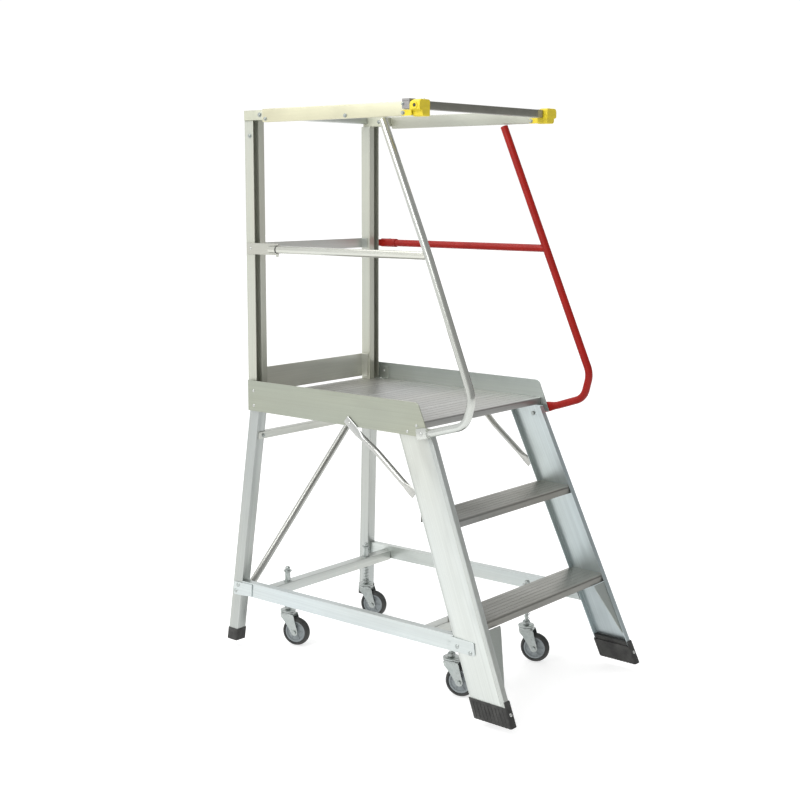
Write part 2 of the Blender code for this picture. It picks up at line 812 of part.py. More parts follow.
def rear_diagonal_brace():
    """A tube across the back from the foot of one leg to the head of the other."""
    low = (-0.345, 0.0515, 0.1115)
    high = (0.292, 0.0055, 0.8010)
    brace = rod("rear_diagonal_brace", [low, high], TUBE, "aluminium", resolution=5)
    cutters = []
    for side in SIDES:
        margin = 0.0005
        section = rounded_box((-LEG_WIDTH - margin, -0.08), (0.08, 0.08), 0.001)
        cutters.append(prism("leg seat", [section], 0, 0.87, leg_frame(side), None, CUTTERS))
    return smooth(combine(brace, "DIFFERENCE", cutters))


def side_brace(side):
    """A tube with flat ends from the toe board down to the rear flange of the stile."""
    sign = SIDES[side]
    corners = [
        (sign * 0.3281, -0.452, 0.836),
        (sign * 0.3281, -0.502, 0.7975),
        (sign * 0.3150, -0.570, 0.7450),
        (sign * 0.3135, -0.722, 0.6275),
    ]
    path = divided([Vector(corner) for corner in corners], 0.03)
    outward = Vector((1, 0, 0))
    brace = flattened_tube(f"side_brace_{side}", path, 0.010, 0.0055, outward, (0.058, 0.02), "aluminium")
    return smooth(combine(brace, "DIFFERENCE", [stile_cutter(side, 0.5, 0.75)]))


def knee_gusset(side):
    """A triangular plate behind the stile's front flange that holds up the lower step."""
    sign = SIDES[side]
    behind = STILE_REAR_AT_SOLE - STILE_DEPTH + STILE_WALL + GAP
    origin = (sign * SOLE_HALF_WIDTH, behind, 0)
    frame = frame_of(origin, (sign, 0, 0), (-sign * SIDE_LEAN, STILE_RAKE, 1), (0, 1, 0))
    top = RISE - LIP - GAP
    corners = [(-0.006, top), (-0.083, top), (-0.081, top - 0.012), (-0.022, 0.097), (-0.006, 0.105)]
    outline = rounded(corners, [0, 0.001, 0.003, 0.004, 0], 2)
    return prism(f"knee_gusset_{side}", [outline], 0, 0.003, frame, "aluminium")


# ---------------------------------------------------------------- gate


def bracket(name, side):
    """A moulded block on the end of a top rail, with a bolted tongue along the rail's side."""
    front = BRACKET_FRONT[side]
    rear = front + BRACKET_DEPTH
    inner, outer = BRACKET_INNER[side], BRACKET_OUTER[side]
    low, high = BRACKET_LOW, BRACKET_HIGH
    step_in = outer - BRACKET_STEP
    corners = [
        (inner, low),
        (step_in, low),
        (step_in, low + 0.016),
        (outer, low + 0.020),
        (outer, high),
        (inner, high),
    ]
    outline = rounded(corners, [0.004, 0.010, 0.002, 0.004, 0.012, 0.006], 4)
    frame = frame_of((0, 0, 0), (SIDES[side], 0, 0), (0, 0, 1), (0, 1, 0))
    made = prism(name, [outline], front, rear, frame, "yellow")
    side_frame = frame_of((0, 0, 0), (0, 1, 0), (0, 0, 1), (SIDES[side], 0, 0))
    profile = rounded([(front, low), (rear, low), (rear, high), (front, high)], [0.003, 0.001, 0.015, 0.003], 5)
    side_view = prism("side view", [profile], inner - 0.01, outer + 0.01, side_frame, None, CUTTERS)
    combine(made, "INTERSECT", [side_view])
    near, far = {
        "left": (RAIL_OUTER + GAP, RAIL_OUTER + TONGUE_THICK),
        "right": (RAIL_OUTER - RAIL_WIDTH - TONGUE_THICK, RAIL_OUTER - RAIL_WIDTH - GAP),
    }[side]
    tongue_outline = rounded(
        rectangle((rear - 0.003, TONGUE_LOW), (TONGUE_END[side], TONGUE_HIGH)),
        [0, 0.006, 0.006, 0],
        4,
    )
    tongue = prism("tongue", [tongue_outline], near, far, side_frame, None, CUTTERS)
    return combine(made, "UNION", [tongue])


def gate_slot(name, side):
    """The room that the gate bar's end needs inside a bracket, open to the middle and the rear."""
    centre = {"left": PIN_Y, "right": GATE_Y}[side]
    ends = sorted((SIDES[side] * SLOT_REACH[side], SIDES[side] * (BRACKET_INNER[side] - 0.01)))
    low = (ends[0], centre - KNUCKLE - SLOT_PLAY, GATE_LOW - SLOT_PLAY)
    high = (ends[1], BRACKET_FRONT[side] + BRACKET_DEPTH + 0.01, GATE_HIGH + SLOT_PLAY)
    return block(name, low, high, None, CUTTERS)


def gate_hinge_bracket():
    made = bracket("gate_hinge_bracket", "left")
    place = Matrix.Translation((PIN_X, PIN_Y, 0))
    bore = cylinder("bore", PIN_RADIUS + GAP, BRACKET_LOW - 0.05, BRACKET_HIGH + 0.05, place, None, CUTTERS)
    return combine(made, "DIFFERENCE", [gate_slot("slot", "left"), bore])


def gate_catch_bracket():
    made = bracket("gate_catch_bracket", "right")
    return combine(made, "DIFFERENCE", [gate_slot("slot", "right")])


def gate_pin():
    """A headed pin through the bracket and the knuckle."""
    place = Matrix.Translation((PIN_X, PIN_Y, 0))
    top = BRACKET_HIGH + GAP
    profile = [
        (0, top + 0.0035),
        (0.0055, top + 0.003),
        (0.007, top + 0.0015),
        (0.007, top),
        (PIN_RADIUS, top),
        (PIN_RADIUS, BRACKET_LOW + 0.001),
        (0, BRACKET_LOW + 0.001),
    ]
    return turned("gate_pin", profile, place, "zinc", LADDER, 16)


def gate_bar():
    """A square tube across the way in, with a knuckle on the pin and a tip behind the catch."""
    hinge = bpy.data.objects.new("gate_hinge_axis", None)
    PARTS.objects.link(hinge)
    hinge.parent = LADDER
    hinge.location = (PIN_X, PIN_Y, 0)
    start = -BRACKET_INNER["left"] + 0.0025 - PIN_X
    end = BRACKET_INNER["right"] - 0.0015 - PIN_X
    middle = GATE_Y - PIN_Y
    section = rounded_box((middle - GATE_HALF, GATE_LOW), (middle + GATE_HALF, GATE_HIGH), 0.002)
    bar = prism("gate_bar", [section], start, end, ACROSS, "gate_grey", None, hinge)
    low, high = GATE_LOW + GAP, GATE_HIGH - GAP
    lug = block("lug", (0, -KNUCKLE, low), (start + 0.010, middle + GATE_HALF - GAP, high), None, CUTTERS, hinge)
    tip = block("tip", (end - 0.010, middle - KNUCKLE, low), (end + 0.0155, middle + KNUCKLE, high), None, CUTTERS,
                hinge)
    eye = cylinder("eye", KNUCKLE, low, high, None, None, CUTTERS, hinge, 32)
    combine(bar, "UNION", [lug, tip, eye])
    bore = cylinder("bore", 0.0042, 1.7, 1.9, None, None, CUTTERS, hinge, 32)
    return combine(bar, "DIFFERENCE", [bore])


# ---------------------------------------------------------------- castors


def castor_empty(name, x, y):
    """The swivel axis at sole height, its local x along the trail."""
    axis = bpy.data.objects.new(name, None)
    PARTS.objects.link(axis)
    axis.parent = LADDER
    axis.location = (x, y, 0)
    axis.rotation_euler = (0, 0, TRAIL_ANGLE)
    return axis


def castor_stem(name, axis):
    """The sliding stem: its nut and washer above the bar, its spring seat and top plate below."""
    profile = [
        (0, 0.253),
        (0.004, 0.2525),
        (0.0075, 0.2500),
        (0.0085, 0.2465),
        (0.0085, 0.2382),
        (0.0150, 0.2382),
        (0.0150, 0.2352),
        (STEM_RADIUS, 0.2352),
        (STEM_RADIUS, SPRING_SEAT - GAP),
        (0.0130, SPRING_SEAT - GAP),
        (0.0130, SPRING_SEAT - 0.003),
        (0.0115, 0.0985),
        (0.0260, 0.0965),
        (0.0275, 0.0950),
        (0.0275, 0.0912),
        (0.0250, 0.0900),
        (0, 0.0900),
    ]
    return turned(name, profile, PLAN, "zinc", axis, 16)


def castor_spring(name, axis, top):
    """A wire coil between the spring seat and the underside of the bar."""
    low = SPRING_SEAT + SPRING_WIRE
    high = top - GAP - SPRING_WIRE
    per_turn = 10
    points = []
    for index in range(SPRING_TURNS * per_turn + 1):
        share = index / (SPRING_TURNS * per_turn)
        angle = 2 * math.pi * SPRING_TURNS * share
        height = low + (high - low) * share
        points.append((SPRING_RADIUS * math.cos(angle), SPRING_RADIUS * math.sin(angle), height))
    return rod(name, points, SPRING_WIRE, "zinc", None, axis, 0)


def castor_fork(name, axis):
    """A pressed fork with its lower swivel plate, and the axle bolt through its legs."""
    plate = cylinder(name, 0.0260, 0.0815, 0.0895, PLAN, "zinc", None, axis, 20)
    leg_outline = rounded(
        [(-0.021, 0.084), (0.027, 0.084), (0.0455, 0.026), (0.0415, 0.008), (0.0225, 0.008), (-0.012, 0.060)],
        [0.002, 0.004, 0.006, 0.010, 0.010, 0.010],
        3,
    )
    pieces = []
    for sign in SIDES.values():
        frame = frame_of((0, 0, 0), (1, 0, 0), (0, 0, 1), (0, sign, 0))
        pieces.append(prism("leg", [leg_outline], 0.0178, 0.0205, frame, None, CUTTERS, axis))
    across = Matrix.Translation((TRAIL, 0, AXLE_HEIGHT)) @ Matrix.Rotation(math.pi / 2, 4, "X")
    pieces.append(cylinder("axle", 0.0040, -0.0240, 0.0240, across, None, CUTTERS, axis, 12))
    for sign in SIDES.values():
        low, high = sorted((sign * 0.0195, sign * 0.0258))
        pieces.append(cylinder("nut", 0.0075, low, high, across, None, CUTTERS, axis, 6))
    return combine(plate, "UNION", pieces)


def castor_wheel(name, axis):
    """The hub disc and the tyre round it, each turned about the axle."""
    across = Matrix.Translation((TRAIL, 0, AXLE_HEIGHT)) @ Matrix.Rotation(math.pi / 2, 4, "X")
    half = 0.0115
    rim = RIM_RADIUS - GAP
    hub = turned(
        f"{name}_hub",
        [
            (0.0044, 0.0165), (0.0120, 0.0165), (0.0135, half - 0.005), (rim - 0.006, half - 0.005),
            (rim - 0.004, half), (rim, half), (rim, -half), (rim - 0.004, -half),
            (rim - 0.006, 0.005 - half), (0.0135, 0.005 - half), (0.0120, -0.0165),
            (0.0044, -0.0165), (0.0044, 0.0165),
        ],
        across, "wheel", axis, 20,
    )
    tread = WHEEL_RADIUS
    edge = TYRE_WIDTH / 2
    crown = [(tread - 0.010, edge), (tread - 0.004, edge - 0.002), (tread - 0.0008, edge - 0.007), (tread, 0)]
    low_crown = [(radius, -height) for radius, height in crown[-2::-1]]
    profile = [(RIM_RADIUS, edge - 0.001)] + crown + low_crown
    profile += [(RIM_RADIUS, 0.001 - edge), (RIM_RADIUS, edge - 0.001)]
    tyre = turned(f"{name}_tyre", profile, across, "tyre", axis, 32)
    return hub, tyre


def castor(place, side):
    name = f"castor_{place}_{side}"
    axis = castor_empty(f"{name}_axis", SIDES[side] * CASTOR_X, CASTORS[place])
    castor_stem(f"{name}_stem", axis)
    castor_spring(f"{name}_spring", axis, BAR_LOW[place])
    castor_fork(f"{name}_fork", axis)
    castor_wheel(name, axis)


# ---------------------------------------------------------------- the whole ladder

clear_scene()
PARTS = new_collection("rolling_warehouse_ladder")
CUTTERS = new_collection("cutters")
LADDER = bpy.data.objects.new("ladder", None)
PARTS.objects.link(LADDER)
LADDER.location = (0, CENTRE_SHIFT, FOOT_LIFT)

for side in SIDES:
    rear_leg(side)
    rear_leg_foot(side)
    stile(side)
    stile_foot(side)
    knee_gusset(side)
    side_toe_board(side)
    post(side)
    top_rail(side)
    corner_connector(side)
    base_rail(side)
    side_brace(side)
    for place in CASTORS:
        castor(place, side)

step("step_lower", RISE)
step("step_upper", 2 * RISE)
deck()
bent_strip("toe_board_rear", 0.0045, 0.028, REAR_BOARD_LOW, REAR_BOARD_HIGH)
bent_strip("rear_mid_rail", 0.0020, 0.022, MID_HEIGHT - FLAT_BAR / 2, MID_HEIGHT + FLAT_BAR / 2)
handrail("left", "aluminium")
handrail("right", "red")
mid_rail_left()
mid_rail_right()
rear_top_rail()
rear_cross_member()
rear_diagonal_brace()
castor_crossbar("rear")
castor_crossbar("front")
gate_hinge_bracket()
gate_catch_bracket()
gate_pin()
gate_bar()
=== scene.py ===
"""The looks of the rolling warehouse ladder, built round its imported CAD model."""

import json
import math

import bmesh
import bpy
from mathutils import Matrix, Vector

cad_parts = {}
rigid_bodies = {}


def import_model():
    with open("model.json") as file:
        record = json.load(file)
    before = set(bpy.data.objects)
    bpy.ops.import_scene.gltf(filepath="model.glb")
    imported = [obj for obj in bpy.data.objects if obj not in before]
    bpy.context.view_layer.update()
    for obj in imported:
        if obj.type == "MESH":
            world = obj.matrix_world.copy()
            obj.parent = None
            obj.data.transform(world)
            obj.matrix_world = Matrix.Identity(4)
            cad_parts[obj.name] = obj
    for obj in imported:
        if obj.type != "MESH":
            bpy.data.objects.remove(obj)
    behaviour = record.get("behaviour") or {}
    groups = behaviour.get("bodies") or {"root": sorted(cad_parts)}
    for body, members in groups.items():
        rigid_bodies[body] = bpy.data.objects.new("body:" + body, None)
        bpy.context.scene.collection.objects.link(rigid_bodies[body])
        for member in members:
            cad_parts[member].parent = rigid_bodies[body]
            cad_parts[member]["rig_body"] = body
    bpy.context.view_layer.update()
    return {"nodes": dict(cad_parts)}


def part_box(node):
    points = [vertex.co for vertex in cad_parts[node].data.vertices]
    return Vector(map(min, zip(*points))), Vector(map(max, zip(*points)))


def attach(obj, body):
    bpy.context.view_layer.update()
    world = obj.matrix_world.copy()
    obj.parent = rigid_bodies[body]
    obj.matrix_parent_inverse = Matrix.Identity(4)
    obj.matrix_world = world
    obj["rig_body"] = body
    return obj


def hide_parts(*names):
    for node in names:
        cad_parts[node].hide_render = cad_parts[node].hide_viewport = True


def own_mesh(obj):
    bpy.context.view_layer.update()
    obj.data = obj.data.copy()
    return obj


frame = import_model()
NODES = frame["nodes"]
SIDES = {"left": -1, "right": 1}

# The ladder's own zero: the rear end of the side toe boards and the soles of the feet.
SHIFT = Vector((0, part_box("toe_board_left")[1].y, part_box("rear_leg_foot_left")[0].z))

# Sizes of the CAD model that the pieces here follow
SIDE_LEAN = 0.07
FOOT_WALL = 0.0025
SOLE_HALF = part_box("rear_leg_foot_right")[1].x - FOOT_WALL
STILE_REAR, STILE_RAKE, STILE_DEPTH = -1.003, 0.43, 0.131
LEG_REAR, LEG_RAKE = 0.080, -0.0861
TUBE = 0.0125
HANDRAIL_BACK = {"left": 0.0, "right": 0.0215}
HANDRAIL_MIDDLE = {"left": -0.776, "right": -0.7655}
BOARD_OUTER = 0.325
BOARD_INNER = 0.3219
RISE = 0.287
DECK_TOP = 3 * RISE
MID_HEIGHT = 1.362
CASTOR_X = 0.207
CASTORS = {"rear": -0.062, "front": -0.790}
BAR_LOW = {"rear": 0.165, "front": 0.192}
BAR_HEIGHT = 0.034
TRAIL_ANGLE = math.radians(-70.9)
TRAIL = 0.032
AXLE_HEIGHT = 0.020
SPRING_FOOT = 0.108


# ---------------------------------------------------------------- materials


class Nodes:
    """A small writer for one material's nodes."""

    def __init__(self, name):
        self.material = bpy.data.materials.new(name)
        self.material.use_nodes = True
        self.tree = self.material.node_tree
        self.shader = self.tree.nodes["Principled BSDF"]

    def add(self, kind, links=None, **settings):
        node = self.tree.nodes.new(kind)
        for key, value in settings.items():
            if key.startswith("in_"):
                node.inputs[key[3:].replace("_", " ")].default_value = value
            else:
                setattr(node, key, value)
        for socket, source in (links or {}).items():
            self.tree.links.new(source, node.inputs[socket])
        return node

    def place(self, direction=None, scale=(1, 1, 1)):
        """Object coordinates turned so that direction is local z, then scaled."""
        source = self.add("ShaderNodeTexCoord").outputs["Object"]
        if direction is not None:
            turn = Vector(direction).rotation_difference(Vector((0, 0, 1))).to_euler()
            turned = self.add("ShaderNodeMapping", {"Vector": source})
            turned.inputs["Rotation"].default_value = turn
            source = turned.outputs["Vector"]
        scaled = self.add("ShaderNodeMapping", {"Vector": source})
        scaled.inputs["Scale"].default_value = scale
        return scaled.outputs["Vector"]

    def noise(self, vector, scale, detail=3.0, rough=0.55):
        node = self.add("ShaderNodeTexNoise", {"Vector": vector})
        node.inputs["Scale"].default_value = scale
        node.inputs["Detail"].default_value = detail
        node.inputs["Roughness"].default_value = rough
        return node.outputs["Fac"]

    def spread(self, value, low, high, start=0.3, end=0.7):
        node = self.add("ShaderNodeMapRange", {"Value": value})
        node.inputs["From Min"].default_value = start
        node.inputs["From Max"].default_value = end
        node.inputs["To Min"].default_value = low
        node.inputs["To Max"].default_value = high
        return node.outputs["Result"]

    def mix(self, factor, first, second):
        """A colour between two, each a tuple or another node's socket."""
        node = self.add("ShaderNodeMix", data_type="RGBA")
        self.tree.links.new(factor, node.inputs["Factor"])
        for socket, value in (("A", first), ("B", second)):
            named = [item for item in node.inputs if item.name == socket]
            target = [item for item in named if item.type == "RGBA"][0]
            if isinstance(value, tuple):
                target.default_value = (*value, 1)
            else:
                self.tree.links.new(value, target)
        return [item for item in node.outputs if item.type == "RGBA"][0]

    def finish(
        self, colour=None, roughness=None, height=None, depth=0.0002, strength=0.5, **constants
    ):
        """Connects what varies and sets the shader's own constants."""
        links = self.tree.links
        if colour is not None:
            links.new(colour, self.shader.inputs["Base Color"])
        if roughness is not None:
            links.new(roughness, self.shader.inputs["Roughness"])
        if height is not None:
            bump = self.add("ShaderNodeBump", {"Height": height})
            bump.inputs["Distance"].default_value = depth
            bump.inputs["Strength"].default_value = strength
            links.new(bump.outputs["Normal"], self.shader.inputs["Normal"])
        for key, value in constants.items():
            self.shader.inputs[key.replace("_", " ")].default_value = value
        return self.material


def scaled_colour(colour, factor):
    return tuple(channel * factor for channel in colour)


def aluminium(
    name,
    direction,
    colour,
    rough=(0.30, 0.46),
    streaks=1.0,
    patches=0.35,
    highlight_span=None,
    front_shade=None,
    metallic=0.92,
):
    """Mill-finish extruded aluminium: die lines along its length, dull smudges and light scratches.

    A piece with a highlight span gets a painted highlight: it is coloured lighter from left to right,
    over that distance to each side. The faces of a piece with a front shade that look to the front
    are coloured that much darker, as painted shade."""
    nodes = Nodes(name)
    lines = nodes.noise(nodes.place(direction, (260, 260, 1.6)), 1.0, 4.0, 0.6)
    broad = nodes.noise(nodes.place(direction, (38, 38, 0.9)), 1.0, 2.0)
    smudge = nodes.noise(nodes.place(None, (1, 1, 1)), 5.5, 5.0, 0.62)
    scratch = nodes.noise(nodes.place((0.3, 0.8, 0.5), (420, 420, 9)), 1.0, 2.0, 0.4)
    dull = scaled_colour(colour, 1 - 0.20 * streaks)
    body = nodes.mix(nodes.spread(lines, 0, 1), dull, colour)
    band = scaled_colour(colour, 1 - 0.14 * streaks)
    body = nodes.mix(nodes.spread(broad, 0, 0.5), body, band)
    body = nodes.mix(nodes.spread(smudge, 0, 0.38, 0.45, 0.75), body, scaled_colour(colour, 0.80))
    body = nodes.mix(nodes.spread(scratch, 0, 0.5, 0.68, 0.74), body, scaled_colour(colour, 1.12))
    cloud = nodes.noise(nodes.place(direction, (11, 11, 2.4)), 1.0, 2.5, 0.55)
    body = nodes.mix(nodes.spread(cloud, 0, patches, 0.50, 0.62), body, scaled_colour(colour, 0.70))
    # Painted highlight: the colour is mixed lighter from -x to +x across the piece.
    if highlight_span:
        split = nodes.add("ShaderNodeSeparateXYZ", {"Vector": nodes.place()})
        share = nodes.spread(split.outputs["X"], 0, 1, -highlight_span, highlight_span)
        body = nodes.mix(share, body, scaled_colour(colour, 1.75))
    # Painted shade: faces whose normal looks to the front (-y) are mixed darker.
    if front_shade:
        facing_way = nodes.add("ShaderNodeTexCoord").outputs["Normal"]
        split = nodes.add("ShaderNodeSeparateXYZ", {"Vector": facing_way})
        front_shade_share = nodes.spread(split.outputs["Y"], 1, 0, -0.9, -0.5)
        body = nodes.mix(front_shade_share, body, scaled_colour(colour, front_shade))
    drift = nodes.noise(nodes.place(direction, (1, 1, 0.35)), 3.2, 1.0)
    warm = (colour[0] * 1.04, colour[1], colour[2] * 0.90)
    cool = (colour[0] * 0.92, colour[1] * 0.98, colour[2] * 1.06)
    body = nodes.mix(nodes.spread(drift, 0, 0.35), body, warm)
    body = nodes.mix(nodes.spread(drift, 0.35, 0), body, cool)
    worn = nodes.add("ShaderNodeMath", {0: lines, 1: smudge}, operation="ADD").outputs[0]
    gloss = nodes.spread(worn, rough[1], rough[0], 0.75, 1.25)
    return nodes.finish(body, gloss, lines, 0.00008, 0.35 * streaks, Metallic=metallic)


def cast_alloy(name):
    """Sand-blasted die casting for the corner connectors."""
    nodes = Nodes(name)
    grain = nodes.noise(nodes.place(), 900, 3.0)
    smudge = nodes.noise(nodes.place(), 22, 4.0)
    colour = nodes.mix(nodes.spread(smudge, 0, 1), (0.46, 0.47, 0.38), (0.54, 0.55, 0.45))
    return nodes.finish(colour, nodes.spread(grain, 0.45, 0.62), grain, 0.00012, 0.6, Metallic=0.75)


def powder_coat(name, colour, rough, metallic=0.0, specular=0.5, coat=0.25):
    """Baked powder coat: an orange-peel surface, dusty in places and rubbed lighter."""
    nodes = Nodes(name)
    peel = nodes.noise(nodes.place(), 520, 2.0)
    dust = nodes.noise(nodes.place(), 14, 5.0, 0.65)
    chips = nodes.noise(nodes.place(), 95, 3.0, 0.7)
    body = nodes.mix(nodes.spread(dust, 0, 1), colour, scaled_colour(colour, 0.78))
    body = nodes.mix(nodes.spread(chips, 0, 0.55, 0.70, 0.76), body, scaled_colour(colour, 1.45))
    gloss = nodes.spread(dust, rough, rough + 0.16)
    return nodes.finish(
        body, gloss, peel, 0.0001, 0.35,
        Metallic=metallic, Coat_Weight=coat, Coat_Roughness=0.2, Specular_IOR_Level=specular,
    )


def moulded(name, colour, rough=0.42, coat=0.0):
    """Moulded plastic: a fine spark-eroded grain, soft flow marks and scuffs."""
    nodes = Nodes(name)
    grain = nodes.noise(nodes.place(), 1300, 2.0)
    flow = nodes.noise(nodes.place(None, (1, 1, 3)), 26, 3.0)
    scuff = nodes.noise(nodes.place((0.2, 1, 0.3), (300, 300, 14)), 1.0, 2.0)
    body = nodes.mix(nodes.spread(flow, 0, 1), colour, scaled_colour(colour, 0.82))
    body = nodes.mix(nodes.spread(scuff, 0, 0.4, 0.66, 0.73), body, scaled_colour(colour, 1.18))
    gloss = nodes.spread(flow, rough, rough + 0.14)
    return nodes.finish(
        body, gloss, grain, 0.00006, 0.5, Metallic=0.0, Coat_Weight=coat, Coat_Roughness=0.25
    )


def rubber(name, colour=(0.020, 0.020, 0.019)):
    """Moulded rubber with a bloom of dust and a rough grain."""
    nodes = Nodes(name)
    grain = nodes.noise(nodes.place(), 700, 4.0, 0.7)
    bloom = nodes.noise(nodes.place(), 30, 5.0, 0.6)
    body = nodes.mix(nodes.spread(bloom, 0, 1, 0.4, 0.8), colour, (0.060, 0.060, 0.056))
    return nodes.finish(body, nodes.spread(grain, 0.55, 0.8), grain, 0.00025, 0.5, Metallic=0.0)


def zinc(name, colour=(0.62, 0.65, 0.66)):
    """Zinc plate: mottled, bluish, with a slightly uneven gloss."""
    nodes = Nodes(name)
    mottle = nodes.noise(nodes.place(), 130, 4.0, 0.65)
    cloud = nodes.noise(nodes.place(), 24, 3.0)
    body = nodes.mix(nodes.spread(mottle, 0, 1), scaled_colour(colour, 0.78), colour)
    body = nodes.mix(nodes.spread(cloud, 0, 0.6), body, (0.50, 0.52, 0.50))
    return nodes.finish(body, nodes.spread(mottle, 0.24, 0.42), mottle, 0.00005, 0.4, Metallic=0.95)


DOWN_STILE = {side: (-sign * SIDE_LEAN, STILE_RAKE, 1) for side, sign in SIDES.items()}
DOWN_LEG = {side: (-sign * SIDE_LEAN, LEG_RAKE, 1) for side, sign in SIDES.items()}
ALONG_X, ALONG_Y, ALONG_Z = (1, 0, 0), (0, 1, 0), (0, 0, 1)

ALU_X = aluminium("aluminium_across", ALONG_X, (0.56, 0.58, 0.55))
REAR_BOARD_ALU = aluminium(
    "aluminium_board_rear", ALONG_X, (0.74, 0.75, 0.69), (0.36, 0.50), 0.6
)
# The deck's colour carries a painted highlight, lighter to the right, and painted shade on its
# front-facing faces.
DECK_ALU = aluminium(
    "aluminium_deck", ALONG_X, (0.34, 0.34, 0.325), (0.30, 0.48), 1.3, highlight_span=0.34, front_shade=0.75
)
# The two top rails are one aluminium, coloured as lit and shaded copies: painted light on the left
# rail, painted shade on the right one.
RAIL_ALU_PAINTED_LIGHT = {
    "left": aluminium("aluminium_rail_left_painted_lit", ALONG_Y, (0.66, 0.64, 0.47), (0.34, 0.48), 0.6),
    "right": aluminium("aluminium_rail_right_painted_shade", ALONG_Y, (0.47, 0.48, 0.42), (0.34, 0.48), 0.7),
}
BASE_ALU = aluminium("aluminium_base_rail", ALONG_Y, (0.58, 0.62, 0.61))
POST_ALU = aluminium("aluminium_post", ALONG_Z, (0.52, 0.53, 0.46), metallic=0.55)
# The treads' colour carries a painted highlight, lighter to the right, and painted shade on their
# front-facing faces.
TREAD = aluminium(
    "aluminium_tread", ALONG_X, (0.27, 0.268, 0.245), (0.32, 0.50), 1.3, highlight_span=0.32, front_shade=0.62
)
SEAM = aluminium("aluminium_seam", ALONG_X, (0.80, 0.81, 0.78), (0.30, 0.40), 0.3)
# The side toe boards are one aluminium, coloured as shaded and lit copies: painted shade on the left
# board, painted light on the right one.
BOARD_ALU_PAINTED_LIGHT = {
    "left": aluminium("aluminium_board_left_painted_shade", ALONG_Y, (0.38, 0.40, 0.335), (0.36, 0.50), 0.7),
    "right": aluminium("aluminium_board_right_painted_lit", ALONG_Y, (0.48, 0.52, 0.50), (0.34, 0.48), 0.8),
}
SHEET = aluminium("aluminium_sheet", ALONG_Y, (0.45, 0.48, 0.45), (0.34, 0.48), 0.8)
TUBE_ALU = aluminium("aluminium_tube", (0, 0.4, 1), (0.56, 0.57, 0.53), (0.16, 0.26), 0.8)
MID_ALU = aluminium("aluminium_mid_tube", ALONG_Y, (0.58, 0.58, 0.52), (0.16, 0.26), 0.8)
BRACE_ALU = aluminium("aluminium_brace", (0.6, 0, 0.7), (0.50, 0.50, 0.47), (0.26, 0.40), 1.0)
# The two stiles are one extrusion; the right one is coloured darker and bluer as painted shade.
STILE_PAINTED_LIGHT_COLOUR = {"left": (0.62, 0.65, 0.63), "right": (0.55, 0.61, 0.62)}
STILE_ALU = {
    side: aluminium(f"aluminium_stile_{side}", DOWN_STILE[side], STILE_PAINTED_LIGHT_COLOUR[side], patches=1.0)
    for side in SIDES
}
LEG_ALU = {
    side: aluminium(f"aluminium_leg_{side}", DOWN_LEG[side], (0.46, 0.48, 0.46)) for side in SIDES
}
CASTING = cast_alloy("cast_alloy")
RED = powder_coat("red_powder_coat", (0.31, 0.009, 0.005), 0.34, specular=0.22, coat=0.0)
GATE_GREY = powder_coat("gate_grey_coat", (0.145, 0.145, 0.120), 0.46, 0.2)
YELLOW = moulded("yellow_plastic", (0.70, 0.555, 0.016), 0.42)
BLACK = rubber("black_rubber")
TYRE = rubber("tyre_rubber", (0.022, 0.024, 0.024))
DISC = moulded("wheel_disc_plastic", (0.27, 0.30, 0.31), 0.40)
ZINC = zinc("zinc_plate", (0.40, 0.44, 0.43))
RIVET = zinc("rivet_steel", (0.55, 0.56, 0.54))
DARK = moulded("dark_plastic", (0.03, 0.03, 0.028), 0.45)
COVER = moulded("grey_cover_plastic", (0.27, 0.265, 0.26), 0.48)
NYLON = moulded("aged_nylon", (0.30, 0.27, 0.15), 0.5)


# ---------------------------------------------------------------- mesh helpers


def mesh_object(name, shape, surface):
    """A mesh object with one material, made from a bmesh that is then freed."""
    bmesh.ops.recalc_face_normals(shape, faces=shape.faces)
    mesh = bpy.data.meshes.new(name)
    shape.to_mesh(mesh)
    shape.free()
    obj = bpy.data.objects.new(name, mesh)
    bpy.context.scene.collection.objects.link(obj)
    mesh.materials.append(surface)
    return obj


def shade(obj, degrees=35):
    """Smooth shading, apart from edges sharper than this."""
    obj.data.shade_smooth()
    obj.data.set_sharp_from_angle(angle=math.radians(degrees))
    return obj


def round_edges(obj, width, segments=2, degrees=30):
    """Breaks the edges sharper than this with a narrow bevel."""
    bevel = obj.modifiers.new("rounded edges", "BEVEL")
    bevel.width = width
    bevel.segments = segments
    bevel.limit_method = "ANGLE"
    bevel.angle_limit = math.radians(degrees)
    bevel.harden_normals = False
    return obj


def put(obj, body, place=None):
    """Sets a piece made in the ladder's own axes in its place, on its body."""
    obj.matrix_world = Matrix.Translation(SHIFT) @ (place or Matrix.Identity(4))
    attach(obj, body)
    return obj


def prism(name, outline, near, far, matrix, surface):
    """A closed outline in local x and y made thick on local z, then moved by the matrix."""
    shape = bmesh.new()
    face = shape.faces.new([shape.verts.new((x, y, near)) for x, y in outline])
    grown = bmesh.ops.extrude_face_region(shape, geom=[face])
    tops = [item for item in grown["geom"] if isinstance(item, bmesh.types.BMVert)]
    bmesh.ops.translate(shape, vec=(0, 0, far - near), verts=tops)
    bmesh.ops.transform(shape, matrix=matrix, verts=shape.verts)
    return mesh_object(name, shape, surface)


def axes(origin, u, v, w):
    """The matrix that takes local x, y and z to these vectors and zero to the origin."""
    matrix = Matrix.Identity(4)
    for column, vector in enumerate((u, v, w, origin)):
        for row in range(3):
            matrix[row][column] = vector[row]
    return matrix


def box(name, low, high, surface, edge=0.0006):
    """An upright box between two corners, with its edges broken."""
    outline = [(low[0], low[1]), (high[0], low[1]), (high[0], high[1]), (low[0], high[1])]
    return round_edges(prism(name, outline, low[2], high[2], Matrix.Identity(4), surface), edge)


